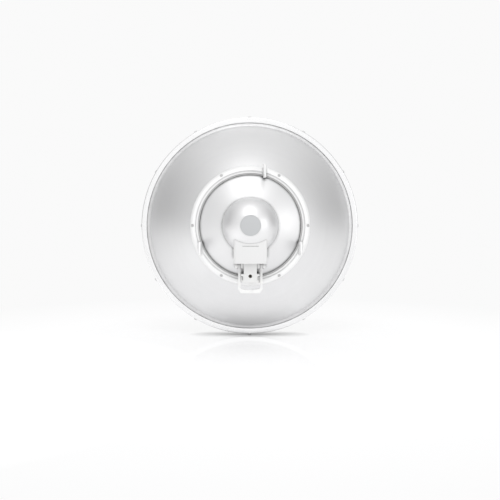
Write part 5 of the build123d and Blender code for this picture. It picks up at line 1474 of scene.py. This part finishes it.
@dataclass
class Studio:
    """Pale floor and sky, soft lights and the camera behind the dish.

    Sky values are light levels, spans are ranges of a direction's X or Y, and the camera's lens is in
    millimetres and its shift in widths of the frame.
    """

    camera_place: tuple[float, float, float] = (-0.020, -1.910, 0.0)
    sensor: float = 36.0
    focal_length: float = 49.608
    shift: Point2 = (0.014, -0.049)
    floor_gap: float = 0.3 * MM
    floor_half: float = 9.0
    floor_colour: Colour = (0.44, 0.44, 0.445)
    fade: Point2 = (0.4, 1.3)
    mirror_fade: Point2 = (0.15, 0.75)
    # Painted pool of light: the floor glows brighter round a point off to the left, lighting the dish from
    # low on that side.
    light_pool: tuple[float, float, float] = (-0.75, -0.45, 0.0)
    light_pool_reach: float = 0.75
    light_pool_core: float = 0.2
    light_pool_glow: float = 0.45
    pale: float = 0.955
    near_glow: float = 0.65
    # Painted contact shadow: reach of the floor's darkening under the dish, and the light level left at its
    # darkest.
    contact: float = 0.05
    contact_light: float = 0.1
    mirror: float = 0.9
    mirror_roughness: float = 0.06
    sky: float = 0.80
    side_sky: float = 0.20
    behind_sky: float = 1.15
    side_span: Point2 = (0.5, 0.97)
    past_span: Point2 = (-0.4, 0.12)
    behind_span: Point2 = (-0.98, -0.8)
    lights: tuple[Softbox, ...] = (
        Softbox("top_softbox", (-0.1, -1.5, 2.1), 1.9, 15.0),
        Softbox("right_softbox", (2.2, -1.7, 0.3), 1.6, 8.0),
    )

    def build(self) -> None:
        """Set the stage."""
        self.build_floor()
        self.build_world()
        for light in self.lights:
            light.build()
        self.build_camera()
        bpy.context.scene.view_settings.view_transform = "Standard"

    def build_floor(self) -> None:
        """Lay the floor just under the rim. Away from the dish it fades into the pale background.

        It carries a painted contact shadow under the dish and a glowing painted pool of light off to the
        left.
        """
        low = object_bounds()[0][2] - self.floor_gap
        release()
        bpy.ops.mesh.primitive_plane_add(size=2 * self.floor_half, location=(0, 0, low))
        floor = bpy.context.object
        floor.name = "studio_floor"
        settle(floor)
        finish = bpy.data.materials.new("studio_white")
        finish.use_nodes = True
        finish.node_tree.nodes.clear()
        tree = Tree(finish.node_tree)
        place = tree.add("TexCoord").outputs["Object"]
        reach = tree.add("VectorMath", {"operation": "LENGTH"}, in0=place).outputs[1]
        near = tree.remap(reach, *self.fade, 1.0, 0.0)
        # Painted contact shadow: ambient occlusion darkens the floor's colour and glow under and beside the
        # dish.
        hidden = tree.add("AmbientOcclusion", {"samples": 8}, Distance=self.contact).outputs["AO"]
        open_air = tree.remap(hidden, 0.0, 1.0, self.contact_light, 1.0)
        share = tree.math("MULTIPLY", near, open_air)
        colour = tree.blend(share, (0.0, 0.0, 0.0, 1.0), (*self.floor_colour, 1.0))
        # Painted pool of light: extra glow that fades out from a point on the floor off to the left.
        away = tree.add("VectorMath", {"operation": "DISTANCE"}, in0=place, in1=self.light_pool).outputs[1]
        core = self.light_pool_core * self.light_pool_reach
        light_pool = tree.remap(away, core, self.light_pool_reach, self.light_pool_glow, 0.0)
        glow = tree.math("ADD", tree.remap(near, 0.0, 1.0, self.pale, self.near_glow), light_pool)
        mirror = tree.remap(reach, *self.mirror_fade, self.mirror, 0.0)
        shader = tree.add("BsdfPrincipled", None, Base_Color=colour, Coat_Weight=mirror)
        tree.feed(shader.inputs["Emission Color"], tree.math("MULTIPLY", glow, open_air))
        shader.inputs["Emission Strength"].default_value = 1.0
        shader.inputs["Specular IOR Level"].default_value = 0.0
        shader.inputs["Coat Roughness"].default_value = self.mirror_roughness
        tree.add("OutputMaterial", None, Surface=shader.outputs[0])
        floor.data.materials.append(finish)
        floor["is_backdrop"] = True

    def build_world(self) -> None:
        """Light from all round, dimmer from the sides past the dish and brighter from straight behind.

        The camera itself sees an even, pale background.
        """
        world = bpy.data.worlds.new("studio_air")
        world.use_nodes = True
        world.node_tree.nodes.clear()
        tree = Tree(world.node_tree)
        seen = tree.add("LightPath").outputs["Is Camera Ray"]
        split = tree.add("SeparateXYZ", None, in0=tree.add("TexCoord").outputs["Generated"]).outputs
        sideways = tree.remap(tree.math("ABSOLUTE", split[0]), *self.side_span, 0.0, 1.0)
        past_dish = tree.remap(split[1], *self.past_span, 0.0, 1.0)
        behind = tree.remap(split[1], *self.behind_span, self.behind_sky - self.sky, 0.0)
        shade = tree.math("MULTIPLY", tree.math("MULTIPLY", sideways, past_dish), self.sky - self.side_sky)
        strength = tree.math("ADD", tree.math("SUBTRACT", self.sky, shade), behind)
        light = tree.add("Background", None, Color=(1.0, 1.0, 1.0, 1.0), Strength=strength)
        pale = tree.add("Background", None, Color=(1.0, 1.0, 1.0, 1.0), Strength=self.pale)
        mixed = tree.add("MixShader", None, in0=seen, in1=light.outputs[0], in2=pale.outputs[0])
        output = tree.tree.nodes.new("ShaderNodeOutputWorld")
        tree.feed(output.inputs[0], mixed.outputs[0])
        bpy.context.scene.world = world

    def build_camera(self) -> None:
        """Stand the camera level with the hub, looking along the boresight."""
        lens = bpy.data.cameras.new("camera")
        lens.sensor_width = self.sensor
        lens.lens = self.focal_length
        lens.shift_x, lens.shift_y = self.shift
        camera = bpy.data.objects.new("camera", lens)
        camera.location = self.camera_place
        camera.rotation_euler = (radians(90), 0, 0)
        bpy.context.scene.collection.objects.link(camera)
        bpy.context.scene.camera = camera


def main() -> None:
    """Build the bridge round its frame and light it."""
    logging.basicConfig(level=logging.INFO, format="%(message)s")
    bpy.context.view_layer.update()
    for build in BUILDERS.values():
        build()
    dish = Dish()
    ring = MountRing()
    hub = Hub()
    dish.build()
    ring.build()
    hub.build()
    ring_form = ring.form()
    dish_profile = [(0.0, dish.vertex - TRIM_GAP)] + dish.parabola(2 * MM, ring.outer, -TRIM_GAP)
    dish_profile += [(ring.outer, dish.flange_depth), (0.0, dish.flange_depth)]
    dish_form = lathe("dish_form", dish_profile, FORM_STEPS)
    cover = PortCover()
    dome_profile = hub.surface(hub.centre, hub.centre - hub.rise, -cover.gap)
    dome_profile = [(0.0, hub.centre)] + dome_profile[:-1] + [(0.0, dome_profile[-1][1])]
    dome_form = lathe("dome_form", dome_profile, FORM_STEPS)
    for node, centre_x, notch_z in HOOKS:
        Hook(node, centre_x, notch_z).build(ring_form)
    cover.build(dish_form, dome_form)
    Latch().build(ring_form, dish_form)
    PortBay().build()
    for form in (ring_form, dish_form, dome_form):
        bpy.data.objects.remove(form)
    dress_packed_nodes()
    Studio().build()


if __name__ == "__main__":
    main()
